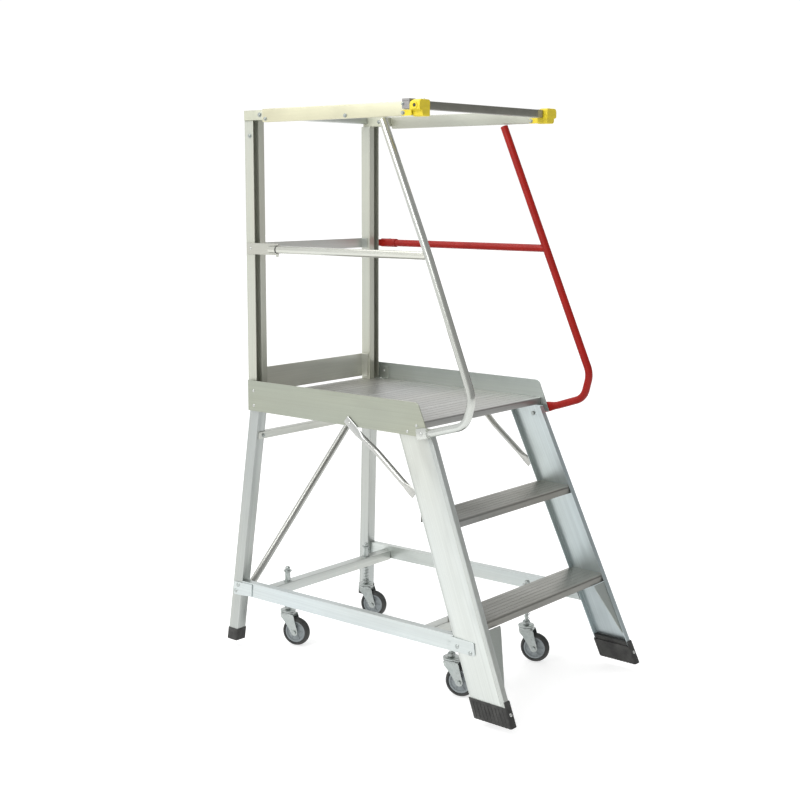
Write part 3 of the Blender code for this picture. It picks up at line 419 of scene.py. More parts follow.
def turned(name, profile, surface, steps=48):
    """A closed solid turned about local z from a profile of (radius, height) points."""
    shape = bmesh.new()
    rings = []
    for radius, height in profile:
        if radius == 0:
            rings.append([shape.verts.new((0, 0, height))])
            continue
        ring = []
        for step in range(steps):
            angle = 2 * math.pi * step / steps
            point = (radius * math.cos(angle), radius * math.sin(angle), height)
            ring.append(shape.verts.new(point))
        rings.append(ring)
    for ring, after in zip(rings, rings[1:]):
        for step in range(steps):
            following = (step + 1) % steps
            if len(ring) == 1:
                shape.faces.new((ring[0], after[step], after[following]))
            elif len(after) == 1:
                shape.faces.new((ring[step], ring[following], after[0]))
            else:
                shape.faces.new((ring[step], ring[following], after[following], after[step]))
    return shade(mesh_object(name, shape, surface), 40)


def bent_path(corners, radii, steps=10):
    """A line through the corners, with an arc of the given radius at each inner one."""
    path = [Vector(corners[0])]
    for index, radius in enumerate(radii, 1):
        corner = Vector(corners[index])
        back = (Vector(corners[index - 1]) - corner).normalized()
        ahead = (Vector(corners[index + 1]) - corner).normalized()
        half = back.angle(ahead) / 2
        middle = corner + (back + ahead).normalized() * radius / math.sin(half)
        first = corner + back * radius / math.tan(half) - middle
        last = corner + ahead * radius / math.tan(half) - middle
        for step in range(steps + 1):
            path.append(middle + first.lerp(last, step / steps).normalized() * radius)
    path.append(Vector(corners[-1]))
    return path


def divided(path, spacing):
    """The same line with points no further apart than this."""
    fine = [path[0]]
    for start, end in zip(path, path[1:]):
        parts = max(1, math.ceil((end - start).length / spacing))
        fine.extend(start.lerp(end, part / parts) for part in range(1, parts + 1))
    return fine


# A pressed tube goes from flat to round over the first length, and is this much wider when flat
FLAT_BLEND = 0.035
FLAT_SPREAD = 1.38


def flattened_tube(name, path, radius, thick, flats, surface, sides=32):
    """A tube pressed flat at its ends, where flats gives the flat length and 0 leaves it round."""
    length = sum((b - a).length for a, b in zip(path, path[1:]))
    flat_normal = Vector((1, 0, 0))
    shape = bmesh.new()
    rings = []
    gone = 0.0
    for index, centre in enumerate(path):
        if index:
            gone += (centre - path[index - 1]).length
        tangent = (path[min(index + 1, len(path) - 1)] - path[max(index - 1, 0)]).normalized()
        normal = (flat_normal - tangent * flat_normal.dot(tangent)).normalized()
        across = tangent.cross(normal)
        share = 1.0
        for flat, distance in zip(flats, (gone, length - gone)):
            if flat:
                part = min(max((distance - flat) / FLAT_BLEND, 0.0), 1.0)
                share = min(share, part * part * (3 - 2 * part))
        high = thick / 2 + (radius - thick / 2) * share
        wide = radius * FLAT_SPREAD - radius * (FLAT_SPREAD - 1) * share
        ring = []
        for side in range(sides):
            angle = 2 * math.pi * side / sides
            point = centre + across * wide * math.cos(angle) + normal * high * math.sin(angle)
            ring.append(shape.verts.new(point))
        rings.append(ring)
    for ring, after in zip(rings, rings[1:]):
        for side in range(sides):
            following = (side + 1) % sides
            shape.faces.new((ring[side], ring[following], after[following], after[side]))
    for end in (rings[0], rings[-1]):
        shape.faces.new(end)
    return shade(mesh_object(name, shape, surface), 50)


def facing(direction):
    """The turn that takes local z to this direction."""
    return Vector((0, 0, 1)).rotation_difference(Vector(direction)).to_matrix().to_4x4()


# ---------------------------------------------------------------- CAD nodes with finished edges


# The CAD mesh's own accuracy: points this near are one, and faces this parallel are one facet
SAME_POINT = 2e-6
SAME_PLANE = math.radians(0.4)


def finished(node, surface, edge, degrees=50):
    """A copy of a CAD node with its facets joined and its edges broken, in place of the node."""
    shape = bmesh.new()
    shape.from_mesh(NODES[node].data)
    bmesh.ops.remove_doubles(shape, verts=shape.verts, dist=SAME_POINT)
    bmesh.ops.dissolve_limit(
        shape, angle_limit=SAME_PLANE, verts=shape.verts, edges=shape.edges
    )
    obj = mesh_object(f"{node}_finished", shape, surface)
    shade(round_edges(obj, edge, 2, degrees), 35)
    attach(obj, NODES[node]["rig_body"])
    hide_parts(node)
    return obj


for side in SIDES:
    finished(f"stile_{side}", STILE_ALU[side], 0.0008, 30)
    finished(f"rear_leg_{side}", LEG_ALU[side], 0.0005)
    finished(f"post_{side}", POST_ALU, 0.0006)
    finished(f"toe_board_{side}", BOARD_ALU_PAINTED_LIGHT[side], 0.0006)
    finished(f"top_rail_{side}", RAIL_ALU_PAINTED_LIGHT[side], 0.0005)
    finished(f"base_rail_{side}", BASE_ALU, 0.0006)
    finished(f"corner_connector_{side}", CASTING, 0.0018)
    finished(f"knee_gusset_{side}", SHEET, 0.0005)
    finished(f"rear_leg_foot_{side}", BLACK, 0.0012)
    finished(f"stile_foot_{side}", BLACK, 0.0012)
for node in ("step_lower", "step_upper"):
    finished(node, TREAD, 0.0004)
finished("platform_deck", DECK_ALU, 0.0004)
finished("toe_board_rear", REAR_BOARD_ALU, 0.0005)
for node in ("rear_mid_rail", "rear_top_rail", "rear_cross_member"):
    finished(node, ALU_X, 0.0005)
for place in CASTORS:
    finished(f"castor_crossbar_{place}", ALU_X, 0.0005)
for node in ("gate_hinge_bracket", "gate_catch_bracket"):
    finished(node, YELLOW, 0.0016)
finished("gate_bar", GATE_GREY, 0.0006)
finished("gate_pin", ZINC, 0.0004)


# ---------------------------------------------------------------- round tubes


def handrail(side, surface):
    """From its pressed end on the toe board, out and round the loop, up to the top rail."""
    sign = SIDES[side]
    back = HANDRAIL_BACK[side]
    corners = [
        (0.3284, -0.742, 0.822),
        (0.3284, -0.775, 0.829),
        (0.3375, -0.812, 0.837),
        (0.3375, back - 0.935, 0.872),
        (0.3360, back - 0.957, 0.955),
        (0.3185, HANDRAIL_MIDDLE[side], MID_HEIGHT),
        (0.3110, -0.5915, 1.7630),
    ]
    pressed = [Vector(corner) for corner in corners[:2]]
    path = pressed + bent_path(corners[2:], [0.055, 0.075, 2.0], 14)
    path = divided([Vector((sign * point.x, point.y, point.z)) for point in path], 0.012)
    rail = flattened_tube(f"handrail_tube_{side}", path, TUBE, 0.006, (0.034, 0), surface)
    put(rail, "frame")
    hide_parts(f"handrail_{side}")


def side_brace(side):
    """From the toe board down to the stile, pressed flat at both ends."""
    sign = SIDES[side]
    corners = [
        (sign * 0.3281, -0.452, 0.836),
        (sign * 0.3281, -0.502, 0.7975),
        (sign * 0.3150, -0.570, 0.7450),
        (sign * 0.3135, -0.722, 0.6275),
    ]
    path = divided([Vector(corner) for corner in corners], 0.01)
    name = f"side_brace_tube_{side}"
    brace = flattened_tube(name, path, 0.010, 0.0055, (0.058, 0.02), BRACE_ALU)
    put(brace, "frame")
    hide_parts(f"side_brace_{side}")


handrail("left", TUBE_ALU)
handrail("right", RED)
for side in SIDES:
    side_brace(side)
finished("mid_rail_left", MID_ALU, 0.0004, 60)
finished("mid_rail_right", RED, 0.0004, 60)
finished("rear_diagonal_brace", BRACE_ALU, 0.0004, 60)


# ---------------------------------------------------------------- fasteners


def rivet(name, place, direction, radius=0.0055, surface=RIVET):
    """A blind rivet: a low dome with the broken stub of its mandrel."""
    tall = radius * 0.42
    profile = [(0, tall * 0.72), (radius * 0.22, tall * 0.72), (radius * 0.27, tall * 0.95)]
    steps = 5
    for step in range(1, steps + 1):
        angle = math.pi / 2 * (1 - step / steps)
        profile.append((radius * (0.3 + 0.7 * math.cos(angle)), tall * math.sin(angle)))
    profile.append((0, 0))
    head = turned(name, profile, surface, 24)
    return put(head, "frame", Matrix.Translation(place) @ facing(direction))


def hexagon(radius, tall):
    """A bmesh of a hexagonal prism, centred on zero, with its axis on local z."""
    shape = bmesh.new()
    bmesh.ops.create_cone(
        shape, cap_ends=True, segments=6, radius1=radius, radius2=radius, depth=tall
    )
    return shape


def bolt(name, place, direction, across=0.010):
    """A hexagon head on a washer."""
    washer_thick = 0.0014
    head_tall = 0.0045
    sunk = 0.0002
    shape = hexagon(across / 1.73, head_tall)
    lift = washer_thick - sunk + head_tall / 2
    bmesh.ops.translate(shape, vec=(0, 0, lift), verts=shape.verts)
    head = round_edges(mesh_object(name, shape, ZINC), 0.0006)
    rim = across * 0.82
    profile = [(0, washer_thick), (rim - 0.0004, washer_thick), (rim, 0.001), (rim, 0), (0, 0)]
    washer = turned(f"{name}_washer", profile, ZINC, 32)
    washer.parent = head
    return put(head, "frame", Matrix.Translation(place) @ facing(direction))


def side_x(height, sign):
    """The leaning side plane at this height."""
    return sign * (SOLE_HALF - SIDE_LEAN * height)


# The depth and height of each rivet in a toe board and in a base rail's end plates
BOARD_RIVETS = {
    "rear_high": (-0.027, 0.884),
    "rear_low": (-0.027, 0.834),
    "front_low": (-0.702, 0.8265),
    "front_high": (-0.738, 0.848),
}
BASE_RIVETS = {
    "leg_high": (0.035, 0.199),
    "leg_low": (0.045, 0.177),
    "stile_high": (-0.924, 0.200),
    "stile_low": (-0.974, 0.190),
}
PLATE_PROUD = 0.0033
STILE_WEB = 0.003

for side, sign in SIDES.items():
    outward = (sign, 0, 0)
    for name, (depth, height) in BOARD_RIVETS.items():
        place = (sign * BOARD_OUTER, depth, height)
        rivet(f"board_rivet_{name}_{side}", place, outward, 0.005)
    rivet(f"handrail_rivet_{side}", (sign * 0.3312, -0.760, 0.8255), outward, 0.0065)
    rivet(f"brace_rivet_{side}", (sign * 0.3307, -0.467, 0.8245), outward, 0.0055)
    for name, (depth, height) in BASE_RIVETS.items():
        place = (side_x(height, sign) + sign * PLATE_PROUD, depth, height)
        rivet(f"base_rivet_{name}_{side}", place, (sign, 0, SIDE_LEAN), 0.0070, ZINC)
    inner_web = side_x(0.800, sign) - sign * STILE_WEB
    bolt(f"deck_bolt_{side}", (inner_web, -0.735, 0.806), (-sign, 0, 0), 0.010)
    bolt(f"post_bolt_{side}", (sign * 0.315, -0.018, 1.729), outward, 0.009)
    bolt(f"rail_bolt_outer_{side}", (sign * 0.335, -0.460, 1.7785), outward, 0.008)
    bolt(f"rail_bolt_rear_{side}", (sign * 0.335, -0.112, 1.7800), outward, 0.008)
    bolt(f"rail_bolt_inner_{side}", (sign * 0.268, -0.073, 1.7930), (-sign, 0, 0), 0.008)
    bolt(f"connector_bolt_{side}", (sign * 0.322, -0.073, 1.7945), outward, 0.0095)
    bolt(f"cross_member_bolt_{side}", (sign * 0.284, -0.0282, 0.7265), (0, -1, 0.06), 0.009)


# ---------------------------------------------------------------- ribs, joints and small fittings


def merged(name, boxes, surface, matrix=None):
    """Many small boxes, each a (low, high) pair, as one piece."""
    shape = bmesh.new()
    for low, high in boxes:
        size = [b - a for a, b in zip(low, high)]
        middle = [(a + b) / 2 for a, b in zip(low, high)]
        made = bmesh.ops.create_cube(shape, size=1)["verts"]
        bmesh.ops.scale(shape, vec=size, verts=made)
        bmesh.ops.translate(shape, vec=middle, verts=made)
    if matrix:
        bmesh.ops.transform(shape, matrix=matrix, verts=shape.verts)
    return mesh_object(name, shape, surface)


def tread_ribs(name, front, rear, top, half, surface, pitch=0.0165):
    """Rolled anti-slip ribs that run the width of a tread."""
    width, tall, sunk = 0.0026, 0.0004, 0.0002
    boxes = []
    count = int((rear - front) / pitch)
    for index in range(count):
        depth = front + (index + 0.5) * (rear - front) / count
        low = (-half, depth - width / 2, top - sunk)
        boxes.append((low, (half, depth + width / 2, top + tall)))
    ribs = merged(name, boxes, surface)
    return put(round_edges(ribs, 0.0003, 2, 50), "frame")


STEP_INSET = 0.026
for name, level in (("lower", 1), ("upper", 2)):
    top = RISE * level
    rear = STILE_REAR + STILE_RAKE * top
    half = SOLE_HALF - SIDE_LEAN * top - STEP_INSET
    tread_ribs(f"step_{name}_ribs", rear - STILE_DEPTH + 0.010, rear - 0.006, top, half, TREAD)

DECK_LOW, DECK_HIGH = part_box("platform_deck")
DECK_FRONT = DECK_LOW.y - SHIFT.y
PLANKS = 5
PLANK_DEPTH = (DECK_HIGH.y - DECK_LOW.y) / PLANKS
DECK_HALF = 0.3200
# The last plank stands between the posts
REAR_PLANK_HALF = 0.2600
for plank in range(PLANKS):
    front = DECK_FRONT + plank * PLANK_DEPTH
    rear = front + PLANK_DEPTH - 0.004
    half = DECK_HALF if plank < PLANKS - 1 else REAR_PLANK_HALF
    tread_ribs(f"deck_ribs_{plank}", front + 0.006, rear, DECK_TOP, half, DECK_ALU, 0.0240)

SEAM_HALF, SEAM_WIDTH, SEAM_TALL, SEAM_SUNK = 0.3212, 0.0022, 0.0003, 0.001
seams = []
for plank in range(1, PLANKS):
    depth = DECK_FRONT + plank * PLANK_DEPTH
    low = (-SEAM_HALF, depth - SEAM_WIDTH / 2, DECK_TOP - SEAM_SUNK)
    seams.append((low, (SEAM_HALF, depth + SEAM_WIDTH / 2, DECK_TOP + SEAM_TALL)))
put(merged("deck_plank_seams", seams, SEAM), "frame")

STILE_TOP = 0.8355
OUTER_RIB_FOOT, FLANGE_RIB_FOOT = 0.058, 0.075
# Ribs on a stile's outer face: how far behind its front edge, how wide and how tall
OUTER_RIBS = (
    (0.0045, 0.0018, 0.0008),
    (0.0095, 0.0018, 0.0008),
    (0.0150, 0.0020, 0.0008),
    (0.1260, 0.0016, 0.0004),
)
# Ribs on its front flange: how far in from the outer face
FLANGE_RIBS = (0.0040, 0.0095, 0.0150)


def stile_ribs(side, leaning):
    """Extruded lines on the stile's outer face and on its front flange."""
    lines = []
    for offset, width, tall in OUTER_RIBS:
        depth = offset - STILE_DEPTH
        low = (-0.0003, depth - width / 2, OUTER_RIB_FOOT)
        lines.append((low, (tall, depth + width / 2, STILE_TOP)))
    for inset in FLANGE_RIBS:
        low = (-inset - 0.0010, -STILE_DEPTH - 0.0006, FLANGE_RIB_FOOT)
        lines.append((low, (-inset + 0.0010, 0.0003 - STILE_DEPTH, STILE_TOP)))
    ribs = merged(f"stile_ribs_{side}", lines, STILE_ALU[side], leaning)
    put(round_edges(ribs, 0.0002, 1, 50), "frame")


def boot_details(side, leaning):
    """A boot's serrated sole, the flutes on its side and the rivet in its front."""
    serrations = []
    teeth = 11
    for tooth in range(teeth):
        depth = -STILE_DEPTH + (tooth + 0.5) * STILE_DEPTH / teeth
        serrations.append(((-0.024, depth - 0.0035, -0.0015), (0.002, depth + 0.0035, 0.0008)))
    put(merged(f"stile_foot_tread_{side}", serrations, BLACK, leaning), "frame")
    flutes = []
    for line in range(9):
        depth = -STILE_DEPTH + 0.012 + line * 0.0135
        flutes.append(((0.0035, depth - 0.0012, 0.006), (0.0050, depth + 0.0012, 0.050)))
    made = merged(f"stile_foot_flutes_{side}", flutes, BLACK, leaning)
    put(round_edges(made, 0.0003, 1, 50), "frame")
    front = STILE_REAR - STILE_DEPTH - 0.0042 + 0.015
    place = (SIDES[side] * (SOLE_HALF - 0.013), front, 0.036)
    rivet(f"stile_foot_rivet_{side}", place, (0, -1, STILE_RAKE), 0.0055)


for side, sign in SIDES.items():
    up_stile = (-sign * SIDE_LEAN, STILE_RAKE, 1)
    leaning = axes((sign * SOLE_HALF, STILE_REAR, 0), (sign, 0, 0), (0, 1, 0), up_stile)
    stile_ribs(side, leaning)
    boot_details(side, leaning)


CLIP_FRONT, CLIP_REAR = -0.076, -0.031
CLIP_RIVET_DEPTH = -0.053
CLIP_THICK = 0.0022
CLIP_LOW, CLIP_TOP = 0.8612, 0.905
CLIP_REACH = 0.032


def deck_clip(side, sign):
    """The angle that ties a side toe board to the deck, with its two rivets."""
    inner = BOARD_INNER
    plate_top = CLIP_LOW + CLIP_THICK
    legs = [
        ((inner - CLIP_THICK, CLIP_FRONT, CLIP_LOW), (inner, CLIP_REAR, CLIP_TOP)),
        ((inner - CLIP_REACH, CLIP_FRONT, CLIP_LOW), (inner, CLIP_REAR, plate_top)),
    ]
    clip = merged(f"deck_clip_{side}", legs, SHEET, Matrix.Diagonal((sign, 1, 1, 1)))
    if sign < 0:
        clip.data.flip_normals()
    put(round_edges(clip, 0.0006, 2, 50), "frame")
    on_board = (sign * (inner - CLIP_THICK), CLIP_RIVET_DEPTH, 0.888)
    rivet(f"deck_clip_rivet_{side}", on_board, (-sign, 0, 0), 0.0045)
    on_deck = (sign * (inner - 0.020), CLIP_RIVET_DEPTH, plate_top)
    rivet(f"deck_clip_low_rivet_{side}", on_deck, (0, 0, 1), 0.0045)


for side, sign in SIDES.items():
    deck_clip(side, sign)

COVER_OUTER, COVER_FRONT, COVER_REAR = -0.3440, -0.7215, -0.6925
GATE_BOLT_HEIGHT = 1.7985


def gate_fittings():
    """The cover behind the hinge bracket, the bolts of both brackets and the bar's worn tip."""
    low = (COVER_OUTER, COVER_FRONT, 1.7895)
    put(box("gate_spring_cover", low, (-0.3352, COVER_REAR, 1.8123), COVER, 0.0012), "frame")
    low = (COVER_OUTER, COVER_FRONT, 1.8124)
    cap = box("gate_spring_cover_cap", low, (-0.3140, COVER_REAR, 1.8190), COVER, 0.0015)
    put(cap, "frame")
    bolt("gate_cover_bolt", (COVER_OUTER, -0.6965, 1.8040), (-1, 0, 0), 0.006)
    bolt("gate_tongue_bolt_left", (-0.3400, -0.6940, 1.7780), (-1, 0, 0), 0.008)
    bolt("gate_tongue_bolt_right", (0.3050, -0.7040, 1.7780), (-1, 0, 0), 0.008)
    seat_profile = [
        (0, 0.0006), (0.0052, 0.0006), (0.0060, 0.0022), (0.0098, 0.0022),
        (0.0105, 0.0014), (0.0105, 0), (0, 0),
    ]
    for side, face, depth in (("left", 0.344, -0.741), ("right", 0.347, -0.756)):
        sign = SIDES[side]
        seat = turned(f"gate_bolt_seat_{side}", seat_profile, YELLOW, 36)
        place = Vector((sign * face, depth, GATE_BOLT_HEIGHT))
        put(seat, "frame", Matrix.Translation(place) @ facing((sign, 0, 0)))
        on_seat = place + Vector((sign * 0.0006, 0, 0))
        rivet(f"gate_side_bolt_{side}", on_seat, (sign, 0, 0), 0.0050, DARK)
    low, high = (0.2665, -0.7580, 1.7866), (0.2915, -0.7320, 1.8114)
    put(box("gate_tip_sleeve", low, high, NYLON, 0.0012), "gate")


def mid_rail_fittings():
    """The left rail's dark end plug, bent tab and rivets, and the screw in the right one's sleeve."""
    profile = [(0, 0.004), (0.0128, 0.004), (0.0134, 0.003), (0.0134, 0), (0, 0)]
    plug = turned("mid_rail_plug_left", profile, DARK, 32)
    put(plug, "frame", Matrix.Translation((-0.3288, -0.152, MID_HEIGHT)) @ facing((0, -1, 0)))
    low, high = (-0.3195, -0.1475, 1.3370), (-0.3175, -0.1375, 1.3435)
    put(box("mid_bracket_tab", low, high, MID_ALU, 0.0004), "frame")
    rivet("mid_sleeve_screw", (0.3300, -0.072, MID_HEIGHT + 0.0150), (0, 0, 1), 0.0045)
    for name, depth in (("18", -0.018), ("128", -0.128)):
        rivet(f"mid_bracket_rivet_{name}", (-0.3193, depth, MID_HEIGHT), (-1, 0, 0), 0.0045)


gate_fittings()
mid_rail_fittings()


# ---------------------------------------------------------------- castors


ENDS = {"in": -1, "out": 1}
AXLE = Matrix.Translation((TRAIL, 0, AXLE_HEIGHT)) @ Matrix.Rotation(math.pi / 2, 4, "X")


def mirrored(face):
    """The other half of a profile that is the same on both faces."""
    return [(radius, -height) for radius, height in face[::-1]]


def castor_place(place, side):
    """A castor's stem line at floor level, turned to where its wheel trails."""
    centre = Vector((SIDES[side] * CASTOR_X, CASTORS[place], 0))
    return Matrix.Translation(centre) @ Matrix.Rotation(TRAIL_ANGLE, 4, "Z")


def castor_stem(name, place):
    """Dome nut, washer and sliding pin above; spring seat and pressed top plate below."""
    nut_radius, dome_foot, dome_rise, steps = 0.0085, 0.2465, 0.0065, 6
    profile = [(0, dome_foot + dome_rise)]
    for step in range(1, steps + 1):
        angle = math.pi / 2 * (1 - step / steps)
        radius = nut_radius * math.cos(angle)
        profile.append((radius, dome_foot + dome_rise * math.sin(angle)))
    profile += [
        (nut_radius, 0.2392), (0.0095, 0.2387), (0.0148, 0.2384), (0.0150, 0.2378),
        (0.0150, 0.2358), (0.0146, 0.2352), (0.0060, 0.2352), (0.0060, 0.1088), (0.0063, 0.1080),
        (0.0126, 0.1080), (0.0130, 0.1074), (0.0130, 0.1054), (0.0126, 0.1048), (0.0100, 0.1040),
        (0.0115, 0.0990), (0.0150, 0.0972), (0.0255, 0.0966), (0.0270, 0.0958), (0.0275, 0.0944),
        (0.0275, 0.0918), (0.0268, 0.0906), (0.0250, 0.0901), (0, 0.0900),
    ]
    stem = turned(f"{name}_stem_turned", profile, ZINC, 56)
    put(stem, f"{name}_stem", place)
    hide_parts(f"{name}_stem")


def castor_spring(name, place, top):
    """The coil, ground flat at both ends and built at its rest length; the real one closes up as the
    stem slides in.
    """
    wire, radius, turns, per_turn = 0.0012, 0.0095, 6.0, 28
    flat_turns = 0.6
    low, high = SPRING_FOOT + wire, top - 0.0003 - wire
    curve = bpy.data.curves.new(f"{name}_coil_line", "CURVE")
    curve.dimensions = "3D"
    curve.bevel_depth = wire
    curve.bevel_resolution = 3
    curve.use_fill_caps = True
    spline = curve.splines.new("POLY")
    count = int(turns * per_turn)
    spline.points.add(count)
    for index, point in enumerate(spline.points):
        turn = turns * index / count
        angle = 2 * math.pi * turn
        eased = min(max((turn - flat_turns) / (turns - 2 * flat_turns), 0.0), 1.0)
        height = low + (high - low) * eased
        point.co = (radius * math.cos(angle), radius * math.sin(angle), height, 1)
    line = bpy.data.objects.new(f"{name}_coil_line", curve)
    bpy.context.scene.collection.objects.link(line)
    bpy.context.view_layer.update()
    graph = bpy.context.evaluated_depsgraph_get()
    mesh = bpy.data.meshes.new_from_object(line.evaluated_get(graph))
    bpy.data.objects.remove(line)
    coil = bpy.data.objects.new(f"{name}_coil", mesh)
    bpy.context.scene.collection.objects.link(coil)
    mesh.materials.clear()
    mesh.materials.append(ZINC)
    mesh.shade_smooth()
    put(coil, "frame", place)
    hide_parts(f"{name}_spring")
    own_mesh(coil)


def fork_leg(name, matrix):
    """One pressed cheek of the fork, from its shoulder to the eye round the axle."""
    eye, eye_radius = Vector((TRAIL, AXLE_HEIGHT)), 0.0125
    outline = [(-0.0215, 0.0835), (0.0265, 0.0835), (0.0300, 0.0760), (0.0395, 0.0400)]
    for step in range(9):
        angle = math.radians(15 - 185 * step / 8)
        outline.append(tuple(eye + Vector((math.cos(angle), math.sin(angle))) * eye_radius))
    outline += [(0.0095, 0.0340), (-0.0080, 0.0600), (-0.0180, 0.0700)]
    leg = prism(name, outline, 0.0178, 0.0204, matrix, ZINC)
    return round_edges(leg, 0.0007, 2, 50)


def castor_fork(name, place):
    """The crown with its bearing ring, two cheeks and the axle with a nut on each end."""
    profile = [
        (0, 0.0896), (0.0240, 0.0896), (0.0258, 0.0886), (0.0262, 0.0870), (0.0262, 0.0845),
        (0.0250, 0.0822), (0.0225, 0.0815), (0, 0.0815),
    ]
    crown = turned(f"{name}_fork_crown", profile, ZINC, 56)
    parts = []
    for end, sign in ENDS.items():
        cheek = axes((0, 0, 0), (1, 0, 0), (0, 0, 1), (0, sign, 0))
        parts.append(fork_leg(f"{name}_fork_cheek_{end}", cheek))
    low, high = (-0.0205, -0.0200, 0.0795), (0.0260, 0.0200, 0.0840)
    parts.append(box(f"{name}_fork_shoulder", low, high, ZINC, 0.0015))
    profile = [
        (0.0262, 0.0912), (0.0268, 0.0905), (0.0268, 0.0898), (0.0262, 0.0892),
        (0.0150, 0.0892), (0.0150, 0.0912), (0.0262, 0.0912),
    ]
    parts.append(turned(f"{name}_bearing_ring", profile, DARK, 48))
    profile = [(0, 0.0225), (0.0040, 0.0225), (0.0040, -0.0235), (0.0035, -0.0240), (0, -0.0240)]
    axle = turned(f"{name}_axle", profile, ZINC, 24)
    axle.matrix_world = AXLE
    parts.append(axle)
    for end, sign in ENDS.items():
        shape = hexagon(0.0075, 0.0052)
        nut = round_edges(mesh_object(f"{name}_axle_nut_{end}", shape, ZINC), 0.0007)
        nut.matrix_world = AXLE @ Matrix.Translation((0, 0, sign * 0.0232))
        parts.append(nut)
    for part in parts:
        put(part, f"{name}_fork", place @ part.matrix_world)
    put(crown, f"{name}_fork", place)
    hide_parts(f"{name}_fork")


def wheel_disc(name, across):
    """The moulded disc, with a recess between its boss and its rim on each face."""
    face = [
        (0.0046, 0.0165), (0.0092, 0.0165), (0.0100, 0.0158), (0.0108, 0.0100), (0.0140, 0.0072),
        (0.0280, 0.0066), (0.0300, 0.0074), (0.0318, 0.0110), (0.0330, 0.0118), (0.0366, 0.0120),
        (0.0372, 0.0114),
    ]
    profile = face + mirrored(face) + [face[0]]
    disc = turned(f"{name}_disc", profile, DISC, 72)
    put(disc, f"{name}_wheel", across)
    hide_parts(f"{name}_hub")


def wheel_bush(name, across):
    face = [(0.0041, 0.0172), (0.0070, 0.0172), (0.0072, 0.0168)]
    profile = face + mirrored(face) + [face[0]]
    put(turned(f"{name}_bush", profile, DARK, 32), f"{name}_wheel", across)


def wheel_tyre(name, across):
    """A crowned tread with a shoulder down to the disc's rim on each face."""
    half, outer, inner, crowning = 0.015, 0.050, 0.0375, 0.01045
    sweep, steps = 78, 10
    crown = []
    for step in range(steps + 1):
        angle = math.radians(sweep - 2 * sweep * step / steps)
        crown.append((outer - crowning * (1 - math.cos(angle)), half * math.sin(angle)))
    shoulder = [
        (inner, 0.0122), (inner + 0.0006, 0.0130), (inner + 0.0010, 0.0143), (inner + 0.0026, 0.0147)
    ]
    profile = shoulder + crown + mirrored(shoulder) + [shoulder[0]]
    tyre = turned(f"{name}_tread", profile, TYRE, 96)
    put(tyre, f"{name}_wheel", across)
    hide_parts(f"{name}_tyre")


def wheel_spokes(name, across):
    """Six ribs in the recess of each face."""
    count = 6
    ribs = []
    for spoke in range(count):
        for end, sign in ENDS.items():
            low, high = sorted((sign * 0.0062, sign * 0.0090))
            corners = ((0.0105, -0.0011, low), (0.0312, 0.0011, high))
            rib = merged(f"{name}_spoke_{spoke}_{end}", [corners], DISC)
            round_edges(rib, 0.0004, 1, 50)
            rib.matrix_world = Matrix.Rotation(2 * math.pi * spoke / count, 4, "Z")
            ribs.append(rib)
    for rib in ribs:
        put(rib, f"{name}_wheel", across @ rib.matrix_world)


def guide_sleeve(name, place, top):
    """The flanged bush that guides the stem through the crossbar, with its foot washer."""
    profile = [
        (0.0064, 0.2348), (0.0115, 0.2348), (0.0120, 0.2342), (0.0120, 0.2325), (0.0098, 0.2318),
        (0.0095, 0.2310), (0.0095, top + 0.0026), (0.0140, top + 0.0022), (0.0142, top + 0.0016),
        (0.0142, top), (0.0064, top), (0.0064, 0.2348),
    ]
    put(turned(f"{name}_guide_sleeve", profile, ZINC, 40), "frame", place)


for place in CASTORS:
    for side in SIDES:
        name = f"castor_{place}_{side}"
        where = castor_place(place, side)
        castor_stem(name, where)
        castor_spring(name, where, BAR_LOW[place])
        castor_fork(name, where)
        wheel_disc(name, where @ AXLE)
        wheel_bush(name, where @ AXLE)
        wheel_tyre(name, where @ AXLE)
        wheel_spokes(name, where @ AXLE)
        guide_sleeve(name, where, BAR_LOW[place] + BAR_HEIGHT)


# ---------------------------------------------------------------- floor, light and camera

ROOM_DIM, ROOM_BRIGHT = 0.42, 1.05
FLAG_AZIMUTH, FLAG_SHARE = math.radians(-8), 0.12


def stage_floor():
    """A pale, flat floor, which glows a little so that it nearly meets the white background."""
    nodes = Nodes("pale_floor")
    tone = nodes.noise(nodes.place(), 0.8, 2.0)
    colour = nodes.mix(nodes.spread(tone, 0, 1), (0.60, 0.60, 0.60), (0.63, 0.63, 0.63))
    surface = nodes.finish(
        colour, Roughness=0.9, Metallic=0.0, Emission_Color=(1, 1, 1, 1), Emission_Strength=0.60
    )
    shape = bmesh.new()
    bmesh.ops.create_grid(shape, x_segments=1, y_segments=1, size=30)
    floor = mesh_object("floor", shape, surface)
    if floor.data.polygons[0].normal.z < 0:
        floor.data.flip_normals()


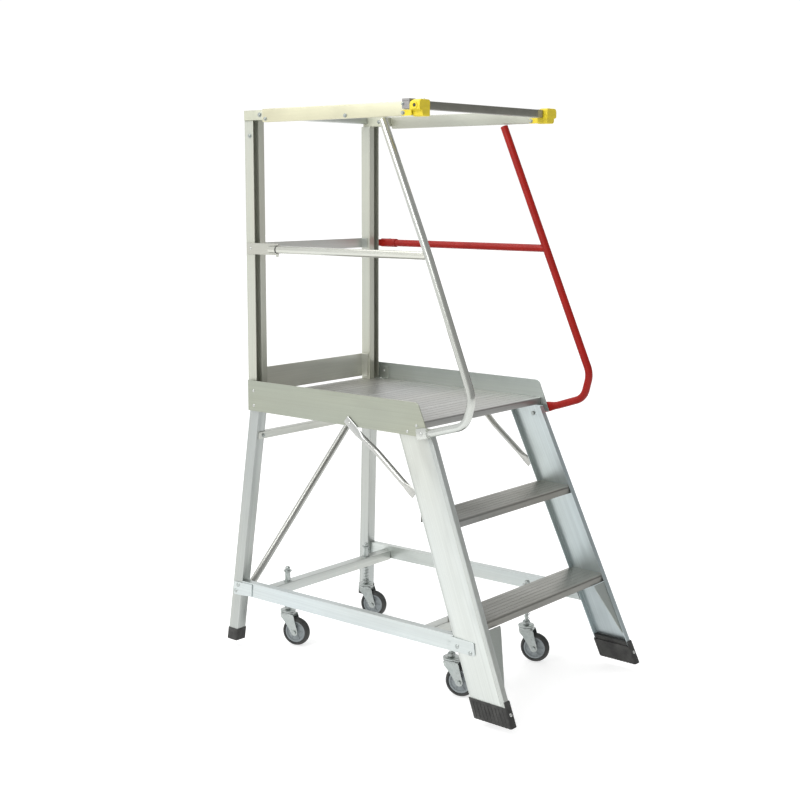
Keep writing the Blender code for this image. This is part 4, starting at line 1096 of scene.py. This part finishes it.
def world_light():
    """Studio surroundings: bright to the rear, dimmer to the front, with a dark flag to the right.

    The camera sees white all round, so that a view from behind has the same background."""
    world = bpy.data.worlds.new("studio")
    bpy.context.scene.world = world
    world.use_nodes = True
    tree = world.node_tree

    def eased(value, start, end, low, high):
        node = tree.nodes.new("ShaderNodeMapRange")
        node.interpolation_type = "SMOOTHSTEP"
        settings = {"From Min": start, "From Max": end, "To Min": low, "To Max": high}
        for socket, setting in settings.items():
            node.inputs[socket].default_value = setting
        tree.links.new(value, node.inputs["Value"])
        return node.outputs["Result"]

    def combined(operation, first, second):
        node = tree.nodes.new("ShaderNodeMath")
        node.operation = operation
        tree.links.new(first, node.inputs[0])
        if isinstance(second, float):
            node.inputs[1].default_value = second
        else:
            tree.links.new(second, node.inputs[1])
        return node.outputs["Value"]

    towards = tree.nodes.new("ShaderNodeTexCoord").outputs["Generated"]
    split = tree.nodes.new("ShaderNodeSeparateXYZ")
    tree.links.new(towards, split.inputs["Vector"])
    room = eased(split.outputs["Y"], -0.75, 0.15, ROOM_DIM, ROOM_BRIGHT)
    along = tree.nodes.new("ShaderNodeVectorMath")
    along.operation = "DOT_PRODUCT"
    along.inputs[1].default_value = (math.cos(FLAG_AZIMUTH), math.sin(FLAG_AZIMUTH), 0)
    tree.links.new(towards, along.inputs[0])
    flag = eased(along.outputs["Value"], 0.88, 0.95, 1, FLAG_SHARE)
    camera_ray = tree.nodes.new("ShaderNodeLightPath").outputs["Is Camera Ray"]
    seen = combined("MULTIPLY", camera_ray, ROOM_BRIGHT)
    strength = combined("MAXIMUM", combined("MULTIPLY", room, flag), seen)
    background = tree.nodes["Background"]
    background.inputs["Color"].default_value = (1, 1, 1, 1)
    tree.links.new(strength, background.inputs["Strength"])


def area_light(name, place, target, size, power):
    """A square lamp that points at the target."""
    data = bpy.data.lights.new(name, "AREA")
    data.shape = "SQUARE"
    data.size = size
    data.energy = power
    light = bpy.data.objects.new(name, data)
    bpy.context.scene.collection.objects.link(light)
    light.location = place
    ahead = Vector(target) - Vector(place)
    light.rotation_euler = ahead.to_track_quat("-Z", "Y").to_euler()


def camera():
    """The viewpoint: in front and to the left of the steps, a little above the deck."""
    azimuth, elevation, distance = math.radians(-49.02), math.radians(9.30), 4.525
    target = Vector((-0.00935, -0.30868, 0.8305)) + SHIFT
    level = math.cos(elevation)
    across, ahead = math.sin(azimuth) * level, -math.cos(azimuth) * level
    back = Vector((across, ahead, math.sin(elevation)))
    data = bpy.data.cameras.new("camera")
    data.lens = 59.46
    data.sensor_width = 36
    data.shift_x = 0.0278
    data.shift_y = 0.0048
    data.clip_end = 100
    obj = bpy.data.objects.new("camera", data)
    bpy.context.scene.collection.objects.link(obj)
    obj.location = target + back * distance
    obj.rotation_euler = (-back).to_track_quat("-Z", "Y").to_euler()
    bpy.context.scene.camera = obj


bpy.context.scene.view_settings.view_transform = "Standard"
stage_floor()
world_light()
LIT_POINT = (0, 0, 0.9)
area_light("key", (-3.4, 0.6, 3.6), LIT_POINT, 2.6, 110)
area_light("top", (0.3, 0.8, 4.6), LIT_POINT, 3.0, 60)
camera()

bpy.context.view_layer.update()
